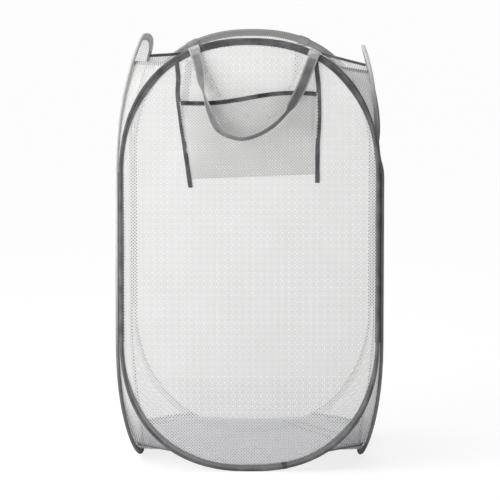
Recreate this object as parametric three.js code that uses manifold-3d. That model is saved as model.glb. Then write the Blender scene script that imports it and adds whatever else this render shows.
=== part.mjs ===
// A pop up laundry hamper: four sprung steel hoops in fabric binding, one round each mesh wall,
// joined at the corners by hinge strips and webs, over a mesh base.
// Millimetres, +Z up, the front wall towards -Y, the floor at z = 0 and the middle of the base at x = y = 0.
import * as THREE from "three";
import { mergeVertices } from "three/addons/utils/BufferGeometryUtils.js";
import Module from "manifold-3d";

const wasm = await Module();
wasm.setup();

// Hoops: a straight upright on each side, and a cap above and below that is a superellipse.
const hoopHalfWidth = 172.8; // to the centre line of the wire
const hoopHalfHeight = 292.4;
const uprightHalfLength = 109;
const capPowerShare = 2.3; // 2 is an ellipse, more is squarer
const quarterSteps = 12;

// Wire, and the crimped sleeve that joins its two ends.
const wireRadius = 0.9;
const wireSides = 6;
const ferruleBore = 1.15; // radius
const ferruleRadius = 1.45;
const ferruleLength = 15;
const ferruleSides = 8;
const ferruleStep = 1; // it lies in this step of the lower cap, counted from the middle

// Binding: a tape folded round the wire into a bead, with two legs that hold the edge of the mesh.
const bindingWall = 0.45;
const beadRadius = 2.5;
const slotHalf = 0.7;
const legOnUpright = 3.2; // from the wire's centre line to the end of the legs
const legOnCap = 7.4;
const footFlat = 0.5; // how much of the bead is flattened where the hoop stands
const beadPoints = 5; // round the bead, from leg to leg

// Cloth and gaps.
const meshThickness = 0.8;
const sewnGap = 0.3; // between pieces that are sewn together
const meshInset = 2; // from the wire's centre line to the edge of a wall's mesh

// Openings in the walls' mesh: a plain grid that stands for its fine net.
const gapColumnPitch = 43;
const gapRowPitch = 50;
const gapWidth = 26;
const gapHeight = 30;
const gapRim = 2; // least distance from an opening to the binding's legs

// Walls. Each leans inwards towards its top and its bottom, drawn in by the corner webs.
const hingeOffset = 2.8; // from an upright's wire to the fold axis, along the wall
const leanPowerShare = 2.3;
const frontLeanTop = 21;
const frontLeanBottom = 21.5;
const rightLeanTop = 22;
const rightLeanBottom = 26;
const rightTopDrop = 16; // the right hoop is pressed down a little
const leftLeanTop = 29;
const leftLeanBottom = 24.5;
// Two hoops are pulled in further on one side of their upper caps, as the photograph shows.
const leftBackPull = 32; // the left hoop, beside the back left web
const rightFrontPull = 6; // the right hoop, beside the front right web; its other side stands out as much

// Corner webs: a free edge bound with tape runs across the corner from hoop to hoop.
const webTopEnd = 98; // distance of the edge's ends from the middle of the wall
const webBottomEnd = 85;
const webSteps = 6;
const webInset = 0.9; // the web's sewn edge, back from the end of the binding's legs
const webDepth = 2; // the web's sewn edge, inwards from the middle of the wall's mesh
const webTapeWall = 0.5;
const webTapeReach = 5; // width of the tape on each side of the web
const webTapeTrim = 3.3; // the tape stops short of the binding by this much

// Base.
const baseHeight = 3.4; // at its middle
const baseInset = 5; // its sewn edge, from the wire's centre line
const baseCornerGap = 2.8; // its corner edges keep this far back from the web's ends, along the wall
const baseBackRise = 13; // it rides up the back wall between its corners
const baseSidePoints = 8;
const baseRings = 4;

// Pocket on the outside of the front wall.
const pocketTapeWidth = 6;
const pocketTapeThickness = 0.8;
const pocketMeshThickness = 0.6;
const pocketBulge = 11;
const pocketBulgePower = 0.5; // how the bulge rises from the side tapes; less is fuller
const pocketEdgeStand = 1.2; // how far the mouth's ends stand off the wall
const pocketSideGap = 0.6; // between the pocket's mesh and its side tapes
const pocketTopWave = 3.3;
const pocketTopTapeReach = 5;
const pocketColumns = 8;
const pocketRows = 5;
const pocketTapeSteps = 10;
const pocketLeft = 94; // distance of the left tape from the middle of the wall, at the mouth
const pocketRight = 91;
const pocketMouth = 210.5; // height above the middle of the wall, of the left end of the mouth
const pocketMouthRise = 12; // to its right end
const pocketDepth = 104;
const pocketFootRise = 6.5;
const pocketTapeTail = 11; // the tapes run this far below the pocket
// [across as a share of the tape's own distance, height as a share of pocketMouth]
const leftTapeShares = [[0.84, 0.45], [0.925, 0.72], [0.985, 0.9], [1.03, 1.06], [1.012, 1.14], [1.04, 1.25]];
const rightTapeShares = [[1, 0.48], [1, 0.72], [1.025, 0.9], [1.015, 1.1], [0.98, 1.23]];

// Carrying handles, one on the front hoop and one on the back hoop.
const strapWidth = 14;
const strapThickness = 1.2;
const handleLeft = 74.5; // the ends' distances from the middle of the wall
const handleRight = 87;
const handleDrop = 115.5;
const handleStandOff = 22; // how far the strap's lowest stretch hangs out from the wall
const handleAxisOut = 4.6; // the ends' distance out from the middle of the mesh
const handleAxisInset = 1.5; // and from the wire's centre line
const handleSteps = 30;
// [across from left end to right end, drop, stand-off, quarter turns of twist], all as shares
const handleShares = [
  [0, 0, 0, 0], [0.027, 0.115, 0.1, 0.05], [0.05, 0.245, 0.3, 0.15], [0.065, 0.375, 0.55, 0.4],
  [0.087, 0.505, 0.75, 0.85], [0.132, 0.7, 0.95, 0.6], [0.19, 0.875, 1, 0.6], [0.252, 0.95, 1, 0.7],
  [0.4, 1, 1, 0.75], [0.55, 0.935, 1, 0.75], [0.667, 0.83, 1, 0.75], [0.772, 0.68, 0.95, 0.75],
  [0.81, 0.6, 0.85, 0.4], [0.889, 0.4, 0.6, 0.1], [0.945, 0.2, 0.3, 0], [1, 0, 0, 0],
];

// Tabs: the strap's sewn ends, wrapped over the binding.
const tabWall = 0.7;
const tabClearance = 0.45; // between the tab and the binding's bead
const tabReach = 6.5; // from the wire's centre line to the ends of the tab
const tabSplay = 0.45; // the ends' clearance to the binding's legs
const tabSteps = 2;
const tabArcPoints = 7; // round the bead, an eighth of a turn apart

// Keeper strap inside the front wall, which holds the folded hamper together.
const keeperWidth = 10;
const keeperLength = 78;
const keeperLeft = 80.5; // its top's distance from the middle of the wall
const keeperSlant = 9; // its lower end lies this much further out
const keeperDepth = 1.7; // inwards from the middle of the wall's mesh
const keeperTopGap = 0.9; // between its top and the end of the binding's legs
const keeperSteps = 5;

// Worked out from the sizes above.
const wallDistance = hoopHalfWidth + 2 * hingeOffset; // from the middle of the hamper to an upright's wall
const hoopMiddle = hoopHalfHeight + beadRadius - footFlat; // height of the middle of a hoop
const capHeight = hoopHalfHeight - uprightHalfLength;
const bindingLegFace = slotHalf + bindingWall;
const quarterTurn = Math.PI / 2;

const walls = [
  { name: "front", quarters: 0, leanTop: frontLeanTop, leanBottom: frontLeanBottom, topDrop: 0 },
  { name: "right", quarters: 1, leanTop: rightLeanTop, leanBottom: rightLeanBottom, topDrop: rightTopDrop },
  { name: "back", quarters: 2, leanTop: frontLeanTop, leanBottom: frontLeanBottom, topDrop: 0 },
  { name: "left", quarters: 3, leanTop: leftLeanTop, leanBottom: leftLeanBottom, topDrop: 0 },
];
const [frontWall, rightWall, backWall, leftWall] = walls;
// How a pull grows up a cap, and how steeply. One that is even works on both halves of the hoop, as a twist.
const pulls = {
  left: {
    most: leftBackPull,
    even: false,
    rise: (climb) => climb ** leanPowerShare,
    steep: (climb) => leanPowerShare * climb ** (leanPowerShare - 1),
  },
  right: {
    most: rightFrontPull,
    even: true,
    rise: (climb) => (27 / 4) * climb * (1 - climb) ** 2,
    steep: (climb) => (27 / 4) * (1 - climb) * (1 - 3 * climb),
  },
};
// Each corner has the wall on its left and the wall on its right, as seen from outside.
const corners = [
  { name: "front_right", left: frontWall, right: rightWall },
  { name: "back_right", left: rightWall, right: backWall },
  { name: "back_left", left: backWall, right: leftWall },
  { name: "front_left", left: leftWall, right: frontWall },
];

const cloth = { roughness: 0.9, metalness: 0 };
const tapeLook = new THREE.MeshStandardMaterial({ color: "#636364", ...cloth });
const meshLook = new THREE.MeshStandardMaterial({ color: "#e2e2e0", ...cloth });
const strapLook = new THREE.MeshStandardMaterial({ color: "#8f8f8f", ...cloth });
const paleStrapLook = new THREE.MeshStandardMaterial({ color: "#bdbdba", ...cloth });
const steelLook = new THREE.MeshStandardMaterial({ color: "#a8a9ab", roughness: 0.35, metalness: 1 });

const hamper = new THREE.Group();

function addMesh(name, geometry, material) {
  const mesh = new THREE.Mesh(geometry, material);
  mesh.name = name;
  hamper.add(mesh);
  return mesh;
}

// A closed body from four-cornered faces. Faces with corners that coincide lose the empty triangle,
// and a body that comes out inside out is turned.
function bodyOf(faces) {
  const triangles = [];
  for (const [a, b, c, d] of faces) {
    for (const corner of [[a, b, c], [a, c, d]]) {
      const [p, q, r] = corner;
      if (p.equals(q) || q.equals(r) || r.equals(p)) continue;
      triangles.push(corner);
    }
  }
  const volume = triangles.reduce((sum, [p, q, r]) => sum + p.dot(q.clone().cross(r)), 0);
  const points = triangles.flatMap(([p, q, r]) => (volume < 0 ? [p, r, q] : [p, q, r]));
  const geometry = new THREE.BufferGeometry().setFromPoints(points);
  return mergeVertices(geometry);
}

// Faces between two neighbouring rings of points. An open ring leaves out its last face.
function facesBetween(ring, next, open = false) {
  const count = open ? ring.length - 1 : ring.length;
  return Array.from({ length: count }, (_, i) => {
    const j = (i + 1) % ring.length;
    return [ring[i], ring[j], next[j], next[i]];
  });
}

// The same faces turned over, each still split along the same diagonal.
function turnedOver(faces) {
  return faces.map(([a, b, c, d]) => [a, d, c, b]);
}

// A body swept through rings of points: a closed loop, or open with each end covered by endFaces.
function sweptBody(rings, closed, endFaces) {
  const faces = [];
  const count = closed ? rings.length : rings.length - 1;
  for (let i = 0; i < count; i += 1) faces.push(...facesBetween(rings[i], rings[(i + 1) % rings.length]));
  if (!closed) {
    faces.push(...turnedOver(endFaces(rings[0])));
    faces.push(...endFaces(rings.at(-1)));
  }
  return bodyOf(faces);
}

// The end of a folded tape, whose ring goes along its inner side and back along its outer side.
function foldEndFaces(ring) {
  const half = ring.length / 2;
  const last = ring.length - 1;
  return Array.from({ length: half - 1 }, (_, i) => {
    const across = last - i;
    return [ring[i], ring[i + 1], ring[across - 1], ring[across]];
  });
}

// A thin sheet: a grid of points with half the thickness laid on each side of it.
function sheetBody(grid, thickness) {
  const normals = grid.map((row, i) =>
    row.map((_, j) => {
      const up = grid[Math.min(i + 1, grid.length - 1)][j].clone().sub(grid[Math.max(i - 1, 0)][j]);
      const along = row[Math.min(j + 1, row.length - 1)].clone().sub(row[Math.max(j - 1, 0)]);
      if (along.lengthSq() === 0) along.copy(grid[i ? i - 1 : 1].at(-1)).sub(grid[i ? i - 1 : 1][0]);
      return along.cross(up).normalize();
    }),
  );
  const side = (sign) =>
    grid.map((row, i) => row.map((p, j) => p.clone().addScaledVector(normals[i][j], (sign * thickness) / 2)));
  return layersBody(side(1), side(-1));
}

// A body between two grids of points that have the same rows and columns.
function layersBody(front, back) {
  const faces = [];
  const last = front.length - 1;
  for (let i = 0; i < last; i += 1) {
    faces.push(...facesBetween(front[i], front[i + 1], true));
    faces.push(...turnedOver(facesBetween(back[i], back[i + 1], true)));
    faces.push([front[i + 1][0], back[i + 1][0], back[i][0], front[i][0]]);
    faces.push([front[i].at(-1), back[i].at(-1), back[i + 1].at(-1), front[i + 1].at(-1)]);
  }
  faces.push(...facesBetween(back[0], front[0], true));
  faces.push(...facesBetween(front[last], back[last], true));
  return bodyOf(faces);
}

// A manifold solid from a geometry, and back.
function toSolid(geometry) {
  const bare = new THREE.BufferGeometry();
  bare.setAttribute("position", geometry.getAttribute("position"));
  bare.setIndex(geometry.index);
  const merged = mergeVertices(bare);
  const vertProperties = merged.getAttribute("position").array;
  return new wasm.Manifold(new wasm.Mesh({ numProp: 3, vertProperties, triVerts: merged.index.array }));
}

function toGeometry(solid) {
  const { vertProperties, triVerts } = solid.getMesh();
  const geometry = new THREE.BufferGeometry();
  geometry.setAttribute("position", new THREE.BufferAttribute(vertProperties, 3));
  return geometry.setIndex(new THREE.BufferAttribute(triVerts, 1));
}

// How far a wall leans in at a place across from its middle and above it, and how steeply along both ways.
function leanAt(wall, across, height) {
  const above = height > 0;
  const cap = above ? capHeight - wall.topDrop : capHeight;
  const most = above ? wall.leanTop : wall.leanBottom;
  const climb = Math.max(0, Math.abs(height) - uprightHalfLength) / cap;
  const lean = most * climb ** leanPowerShare;
  const slope = (Math.sign(height) * most * leanPowerShare * climb ** (leanPowerShare - 1)) / cap;
  const pull = above && climb ? pulls[wall.name] : undefined;
  if (!pull) return { lean, slope, slopeAcross: 0 };
  const side = pull.even ? 1 : (1 - Math.sign(across)) / 2;
  const share = (-side * across) / hoopHalfWidth;
  return {
    lean: lean + pull.most * pull.rise(climb) * share,
    slope: slope + (pull.most * pull.steep(climb) * share) / cap,
    slopeAcross: (-side * pull.most * pull.rise(climb)) / hoopHalfWidth,
  };
}

// A direction given for the front wall, turned to another wall.
function turnTo(wall, vector) {
  return vector.applyAxisAngle(new THREE.Vector3(0, 0, 1), wall.quarters * quarterTurn);
}

// The outward normal of a wall's curved face at a place across from its middle and above it.
function wallNormal(wall, across, height) {
  const { slope, slopeAcross } = leanAt(wall, across, height);
  return turnTo(wall, new THREE.Vector3(slopeAcross, -1, slope).normalize());
}

// A point of a wall: across from its middle, above its middle, and outwards from its mesh.
function onWall(wall, across, height, out = 0) {
  const point = new THREE.Vector3(across, leanAt(wall, across, height).lean - wallDistance, hoopMiddle + height);
  return turnTo(wall, point).addScaledVector(wallNormal(wall, across, height), out);
}

// A place on the upper right quarter of a hoop's outline, at an angle from 0 on the upright to a
// quarter turn in the middle of the cap, inside the wire's centre line by inset.
function quarterPlace(wall, angle, inset, above) {
  const cap = capHeight - (above ? wall.topDrop : 0);
  const round = 2 / capPowerShare;
  const across = (hoopHalfWidth - inset) * Math.abs(Math.cos(angle)) ** round;
  const height = uprightHalfLength + (cap - inset) * Math.abs(Math.sin(angle)) ** round;
  return { across: angle === quarterTurn ? 0 : across, height: above ? height : -height, angle };
}

// The angle of the place on a cap that lies a given distance across from the wall's middle.
function angleAcross(across, inset = 0) {
  return Math.acos((across / (hoopHalfWidth - inset)) ** (capPowerShare / 2));
}

// Places round a hoop: up the right side, over the top, down the left side and under.
function hoopPlaces(wall, inset = 0) {
  const rising = Array.from({ length: quarterSteps + 1 }, (_, i) => (i / quarterSteps) * quarterTurn);
  const falling = rising.toReversed();
  const quarter = (angles, side, above) =>
    angles.map((angle) => {
      const place = quarterPlace(wall, angle, inset, above);
      return { ...place, across: side * place.across };
    });
  return [
    ...quarter(rising.slice(0, -1), 1, true),
    ...quarter(falling, -1, true),
    ...quarter(rising.slice(0, -1), -1, false),
    ...quarter(falling, 1, false),
  ];
}

// The length of the binding's legs, short on the uprights and long on the caps.
function legLength(angle) {
  return THREE.MathUtils.lerp(legOnUpright, legOnCap, THREE.MathUtils.smoothstep(angle, 0, quarterTurn / 2));
}

// Frames round a hoop: the point, the way into the hoop, and the way out of the wall.
function hoopFrames(wall) {
  const places = hoopPlaces(wall);
  const points = places.map(({ across, height }) => onWall(wall, across, height));
  return places.map(({ across, height, angle }, i) => {
    const before = points.at(i - 1);
    const after = points[(i + 1) % points.length];
    const along = after.clone().sub(before).normalize();
    const out = wallNormal(wall, across, height);
    return { point: points[i], inward: out.clone().cross(along).normalize(), out, angle };
  });
}

function inFrame({ point, inward, out }, [n, w]) {
  return point.clone().addScaledVector(inward, n).addScaledVector(out, w);
}

function arcPoints(radius, angles) {
  return angles.map((angle) => [radius * Math.cos(angle), radius * Math.sin(angle)]);
}

// Round a bead from one leg to the other, leaving off where the leg's face begins.
function beadAngles(radius, face, count) {
  const start = Math.asin(face / radius);
  return Array.from({ length: count }, (_, i) => start + (i / (count - 1)) * 2 * (Math.PI - start));
}

function bindingSection(leg) {
  const bore = beadRadius - bindingWall;
  const inner = arcPoints(bore, beadAngles(bore, slotHalf, beadPoints));
  const outer = arcPoints(beadRadius, beadAngles(beadRadius, bindingLegFace, beadPoints));
  const innerSide = [[leg, slotHalf], ...inner, [leg, -slotHalf]];
  const outerSide = [[leg, bindingLegFace], ...outer, [leg, -bindingLegFace]];
  return [...innerSide, ...outerSide.toReversed()];
}

// The floor takes a little off the lowest part of each binding, so that the hoop stands on a flat.
function standOnFloor(geometry) {
  const size = 4 * wallDistance;
  const floor = new THREE.BoxGeometry(size, size, size).translate(0, 0, -size / 2);
  return toGeometry(toSolid(geometry).subtract(toSolid(floor)));
}

function addHoop(wall) {
  const frames = hoopFrames(wall);
  const sides = Array.from({ length: wireSides }, (_, i) => (i / wireSides) * 4 * quarterTurn);
  const wireRings = frames.map((frame) => arcPoints(wireRadius, sides).map((place) => inFrame(frame, place)));
  addMesh(`${wall.name}_wire`, sweptBody(wireRings, true), steelLook);
  const tapeRings = frames.map((frame) =>
    bindingSection(legLength(frame.angle)).map((place) => inFrame(frame, place)),
  );
  addMesh(`${wall.name}_binding`, standOnFloor(sweptBody(tapeRings, true)), tapeLook);
  addFerrule(wall, frames);
}

// The sleeve lies in one straight step of the wire, to the right of the middle of the lower cap.
function addFerrule(wall, frames) {
  const middle = frames.length - 1 - quarterSteps;
  const start = frames[middle + ferruleStep].point;
  const end = frames[middle + ferruleStep + 1].point;
  const profile = [
    [ferruleBore, -ferruleLength / 2], [ferruleRadius, -ferruleLength / 2],
    [ferruleRadius, ferruleLength / 2], [ferruleBore, ferruleLength / 2], [ferruleBore, -ferruleLength / 2],
  ].map(([x, y]) => new THREE.Vector2(x, y));
  const sleeve = new THREE.LatheGeometry(profile, ferruleSides);
  const ferrule = addMesh(`${wall.name}_wire_ferrule`, sleeve, steelLook);
  ferrule.position.copy(start).lerp(end, 1 / 2);
  ferrule.quaternion.setFromUnitVectors(new THREE.Vector3(0, 1, 0), end.clone().sub(start).normalize());
}

// Whether a place on a wall lies inside its hoop, drawn in by inset.
function insideHoop(wall, across, height, inset) {
  const cap = capHeight - (height > 0 ? wall.topDrop : 0);
  const wide = Math.abs(across) / (hoopHalfWidth - inset);
  const high = Math.max(0, Math.abs(height) - uprightHalfLength) / (cap - inset);
  return wide ** capPowerShare + high ** capPowerShare < 1;
}

// The blocks that cut a wall's openings: columns on both sides of its middle, and rows from its middle.
function gapBlocks(wall) {
  const inset = legOnCap + gapRim;
  const depth = 2 * (wall.leanTop + wall.leanBottom);
  const columns = Math.ceil(hoopHalfWidth / gapColumnPitch);
  const rows = Math.ceil(hoopHalfHeight / gapRowPitch);
  const blocks = [];
  for (let row = -rows; row <= rows; row += 1) {
    for (let column = -columns; column < columns; column += 1) {
      const across = (column + 1 / 2) * gapColumnPitch;
      const height = row * gapRowPitch;
      const corners = [-1, 1].map((side) => height + (side * gapHeight) / 2);
      if (!corners.every((y) => insideHoop(wall, Math.abs(across) + gapWidth / 2, y, inset))) continue;
      const block = new THREE.BoxGeometry(gapWidth, depth, gapHeight);
      block.translate(across, -wallDistance, hoopMiddle + height).rotateZ(wall.quarters * quarterTurn);
      blocks.push(toSolid(block));
    }
  }
  return wasm.Manifold.union(blocks);
}

// A wall's mesh, in rows from the bottom to the top whose ends lie inside the binding. A row is straight,
// with a bend in its middle where only half of the wall is pulled in.
function addWallMesh(wall) {
  const places = hoopPlaces(wall, meshInset);
  const right = [...places.slice(-quarterSteps - 1), ...places.slice(0, quarterSteps + 1)];
  const columns = pulls[wall.name]?.even === false ? [-1, 0, 1] : [-1, 1];
  const rows = right.map(({ across, height }) => columns.map((side) => [side * across, height]));
  const layer = (out) => rows.map((row) => row.map(([x, height]) => onWall(wall, x, height, out)));
  const sheet = layersBody(layer(meshThickness / 2), layer(-meshThickness / 2));
  addMesh(`${wall.name}_mesh`, toGeometry(toSolid(sheet).subtract(gapBlocks(wall))), meshLook);
}

// A point of a web's sewn edge on one of its two walls. Side is 1 on a wall's right half.
function webEdge(wall, side, angle, above) {
  const inset = legLength(angle) - webInset;
  const { across, height } = quarterPlace(wall, angle, inset, above);
  return onWall(wall, side * across, height, -webDepth);
}

function addWeb(corner, level, above, endAcross) {
  const last = angleAcross(endAcross, legOnCap - webInset);
  const rows = Array.from({ length: webSteps + 1 }, (_, i) => {
    const angle = (i / webSteps) * last;
    return [webEdge(corner.left, 1, angle, above), webEdge(corner.right, -1, angle, above)];
  });
  addMesh(`web_${level}_${corner.name}`, sheetBody(rows, meshThickness), meshLook);
  addWebTape(`tape_${level}_${corner.name}`, rows.at(-2), rows.at(-1));
}

// A tape folded over a web's free edge.
function addWebTape(name, rowBefore, edge) {
  const along = edge[1].clone().sub(edge[0]).normalize();
  const middle = (row) => row[0].clone().lerp(row[1], 1 / 2);
  const back = middle(rowBefore).sub(middle(edge));
  back.addScaledVector(along, -back.dot(along)).normalize();
  const out = along.clone().cross(back).normalize();
  const face = slotHalf + webTapeWall;
  const floor = -sewnGap;
  const inner = [[webTapeReach, slotHalf], [floor, slotHalf], [floor, -slotHalf], [webTapeReach, -slotHalf]];
  const outer = [
    [webTapeReach, face], [floor - webTapeWall, face],
    [floor - webTapeWall, -face], [webTapeReach, -face],
  ];
  const rings = [webTapeTrim, -webTapeTrim].map((trim, i) => {
    const point = edge[i].clone().addScaledVector(along, trim);
    return [...inner, ...outer.toReversed()].map((place) => inFrame({ point, inward: back, out }, place));
  });
  addMesh(name, sweptBody(rings, false, foldEndFaces), tapeLook);
}

// The strip that joins two neighbouring hoops along their straight uprights.
function addHingeStrip(corner) {
  const end = uprightHalfLength - sewnGap;
  const across = hoopHalfWidth - legOnUpright + webInset;
  const rows = [-end, end].map((height) => [
    onWall(corner.left, across, height, -webDepth),
    onWall(corner.right, -across, height, -webDepth),
  ]);
  addMesh(`hinge_strip_${corner.name}`, sheetBody(rows, meshThickness), meshLook);
}

// The base hangs between the four lower caps and is cut off across each corner.
function addBase() {
  const out = -(bindingLegFace + sewnGap);
  const last = angleAcross(webBottomEnd - baseCornerGap, baseInset);
  const rim = walls.flatMap((wall) =>
    Array.from({ length: baseSidePoints + 1 }, (_, i) => {
      const share = (2 * i) / baseSidePoints - 1;
      const angle = quarterTurn - Math.abs(share) * (quarterTurn - last);
      const rise = wall === backWall ? baseBackRise * (1 - share ** 2) : 0;
      const { across, height } = quarterPlace(wall, angle, baseInset + rise, false);
      return onWall(wall, Math.sign(share) * across, height, out);
    }),
  );
  const ring = (share, lift) =>
    rim.map((p) => {
      const height = THREE.MathUtils.lerp(baseHeight, p.z, share ** 2);
      return new THREE.Vector3(p.x * share, p.y * share, height + lift);
    });
  const shares = Array.from({ length: baseRings + 1 }, (_, i) => 1 - i / baseRings);
  const half = meshThickness / 2;
  const top = shares.map((share) => ring(share, half));
  const bottom = shares.map((share) => ring(share, -half));
  const faces = facesBetween(bottom[0], top[0]);
  for (let i = 0; i < baseRings; i += 1) {
    faces.push(...facesBetween(top[i], top[i + 1]));
    faces.push(...turnedOver(facesBetween(bottom[i], bottom[i + 1])));
  }
  addMesh("base_mesh", bodyOf(faces), meshLook);
}

// Where a tape of the pocket lies across the wall, at a height above the wall's middle.
function tapeAcross(shares, distance, height) {
  const places = shares.map(([across, up]) => [across * distance, up * pocketMouth]);
  const next = Math.max(1, places.findIndex(([, up]) => up >= height));
  const [a, b] = places.at(-1)[1] < height ? places.slice(-2) : [places[next - 1], places[next]];
  return THREE.MathUtils.lerp(a[0], b[0], (height - a[1]) / (b[1] - a[1]));
}

const leftTapeAt = (height) => -tapeAcross(leftTapeShares, pocketLeft, height);
const rightTapeAt = (height) => tapeAcross(rightTapeShares, pocketRight, height);

// The height of the pocket's lower edge at a share of the way across.
const footHeight = (across) => pocketMouth - pocketDepth + pocketFootRise * across;

// A tape of the pocket, laid on the wall from the hoop's binding to below the pocket.
function addPocketSideTape(name, tapeAt, distance, shares, across) {
  const seat = meshThickness / 2 + sewnGap;
  const bottom = footHeight(across) - pocketTapeTail;
  const inset = legOnCap + sewnGap;
  const outerEdge = Math.abs(distance * shares.at(-1)[0]) + pocketTapeWidth / 2;
  const top = quarterPlace(frontWall, angleAcross(outerEdge, inset), inset, true).height;
  const heights = Array.from({ length: pocketTapeSteps + 1 }, (_, i) =>
    THREE.MathUtils.lerp(bottom, top, i / pocketTapeSteps),
  );
  const layer = (lift) =>
    heights.map((height) =>
      [-1, 1].map((side) => {
        const x = tapeAt(height) + (side * pocketTapeWidth) / 2;
        return onWall(frontWall, x, height, seat + lift);
      }),
    );
  addMesh(name, layersBody(layer(pocketTapeThickness), layer(0)), tapeLook);
}

// A point of the pocket's mesh, across and up as shares of the pocket.
function pocketPoint(across, up, lift = 0) {
  const mouth = pocketMouth + pocketMouthRise * across - pocketTopWave * Math.sin(4 * quarterTurn * across);
  const height = THREE.MathUtils.lerp(footHeight(across), mouth, up);
  const edge = pocketTapeWidth / 2 + pocketSideGap;
  const x = THREE.MathUtils.lerp(leftTapeAt(height) + edge, rightTapeAt(height) - edge, across);
  const fullness = Math.sin(2 * quarterTurn * across) ** pocketBulgePower;
  const bulge = pocketBulge * fullness * Math.sin(quarterTurn * up);
  const seat = meshThickness / 2 + sewnGap + pocketMeshThickness / 2;
  return onWall(frontWall, x, height, seat + pocketEdgeStand * up + bulge + lift);
}

function addPocket() {
  const shares = (count) => Array.from({ length: count + 1 }, (_, i) => i / count);
  const layer = (lift) =>
    shares(pocketRows).map((up) => shares(pocketColumns).map((across) => pocketPoint(across, up, lift)));
  const half = pocketMeshThickness / 2;
  addMesh("pocket_mesh", layersBody(layer(half), layer(-half)), meshLook);
  addPocketSideTape("pocket_left_tape", leftTapeAt, pocketLeft, leftTapeShares, 0);
  addPocketSideTape("pocket_right_tape", rightTapeAt, pocketRight, rightTapeShares, 1);
  addPocketTopTape(shares(pocketColumns));
}

// A tape folded over the pocket's mouth.
function addPocketTopTape(shares) {
  const inside = pocketMeshThickness / 2 + sewnGap;
  const face = inside + pocketMeshThickness;
  const floor = -sewnGap;
  const places = [
    [pocketTopTapeReach, inside], [floor, inside], [floor, -inside], [pocketTopTapeReach, -inside],
    [pocketTopTapeReach, -face], [floor - pocketMeshThickness, -face],
    [floor - pocketMeshThickness, face], [pocketTopTapeReach, face],
  ];
  const rings = shares.map((across) => {
    const point = pocketPoint(across, 1);
    const inward = pocketPoint(across, 1 - 1 / pocketRows).sub(point).normalize();
    const out = pocketPoint(across, 1, pocketMeshThickness).sub(point).normalize();
    return places.map((place) => inFrame({ point, inward, out }, place));
  });
  addMesh("pocket_top_tape", sweptBody(rings, false, foldEndFaces), tapeLook);
}

// The middle of a handle's end, out from the binding near the top of its hoop.
function handleEnd(wall, side, distance) {
  const angle = angleAcross(distance, handleAxisInset);
  const { across, height } = quarterPlace(wall, angle, handleAxisInset, true);
  return { across: side * across, height };
}

// The strap hangs from its ends, turns edge on as it comes down, and stands off the wall and pocket.
function addHandle(wall) {
  const left = handleEnd(wall, -1, handleLeft);
  const right = handleEnd(wall, 1, handleRight);
  const route = new THREE.CatmullRomCurve3(
    handleShares.map(([across, drop, stand]) => {
      const height = THREE.MathUtils.lerp(left.height, right.height, across) - drop * handleDrop;
      const out = THREE.MathUtils.lerp(handleAxisOut, handleStandOff, stand);
      return onWall(wall, THREE.MathUtils.lerp(left.across, right.across, across), height, out);
    }),
  );
  const twists = new THREE.CatmullRomCurve3(
    handleShares.map(([across, , , twist]) => new THREE.Vector3(across, twist, 0)),
  );
  const sideways = turnTo(wall, new THREE.Vector3(1, 0, 0));
  const rings = Array.from({ length: handleSteps + 1 }, (_, i) => {
    const share = i / handleSteps;
    const along = route.getTangent(share);
    const out = wallNormal(wall, 0, 0);
    const level = out.clone().cross(along).normalize();
    const isEnd = i === 0 || i === handleSteps;
    const flat = isEnd ? sideways.clone().multiplyScalar(Math.sign(level.dot(sideways))) : level;
    const turn = twists.getPoint(share).y * quarterTurn;
    const wide = flat.clone().multiplyScalar(Math.cos(turn)).addScaledVector(out, Math.sin(turn));
    const thick = wide.clone().cross(along).normalize();
    const corner = (x, y) =>
      route
        .getPoint(share)
        .addScaledVector(wide, (x * strapWidth) / 2)
        .addScaledVector(thick, (y * strapThickness) / 2);
    return [corner(-1, -1), corner(1, -1), corner(1, 1), corner(-1, 1)];
  });
  addMesh(`${wall.name}_handle_strap`, sweptBody(rings, false, (ring) => [ring]), strapLook);
  addTab(`${wall.name}_handle_tab_left`, wall, -1, handleLeft);
  addTab(`${wall.name}_handle_tab_right`, wall, 1, handleRight);
}

// A tab is swept along the hoop for the width of the strap.
function addTab(name, wall, side, distance) {
  const bore = beadRadius + tabClearance;
  const angles = Array.from({ length: tabArcPoints }, (_, i) => ((i + 1) * quarterTurn) / 2);
  const leg = bindingLegFace + tabSplay;
  const inner = [[tabReach, leg], ...arcPoints(bore, angles), [tabReach, -leg]];
  const outer = [[tabReach, leg + tabWall], ...arcPoints(bore + tabWall, angles), [tabReach, -leg - tabWall]];
  const section = [...inner, ...outer.toReversed()];
  const place = (along) => {
    const across = distance + along;
    const spot = quarterPlace(wall, angleAcross(across), 0, true);
    return onWall(wall, side * spot.across, spot.height);
  };
  const rings = Array.from({ length: tabSteps + 1 }, (_, i) => {
    const offset = (i / tabSteps - 1 / 2) * strapWidth;
    const point = place(offset);
    const along = place(offset + strapThickness).sub(place(offset - strapThickness)).normalize();
    const out = wallNormal(wall, 0, point.z - hoopMiddle);
    const inward = out.clone().cross(along).normalize();
    if (inward.z > 0) inward.negate();
    return section.map((spot) => inFrame({ point, inward, out }, spot));
  });
  addMesh(name, sweptBody(rings, false, foldEndFaces), paleStrapLook);
}

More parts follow.
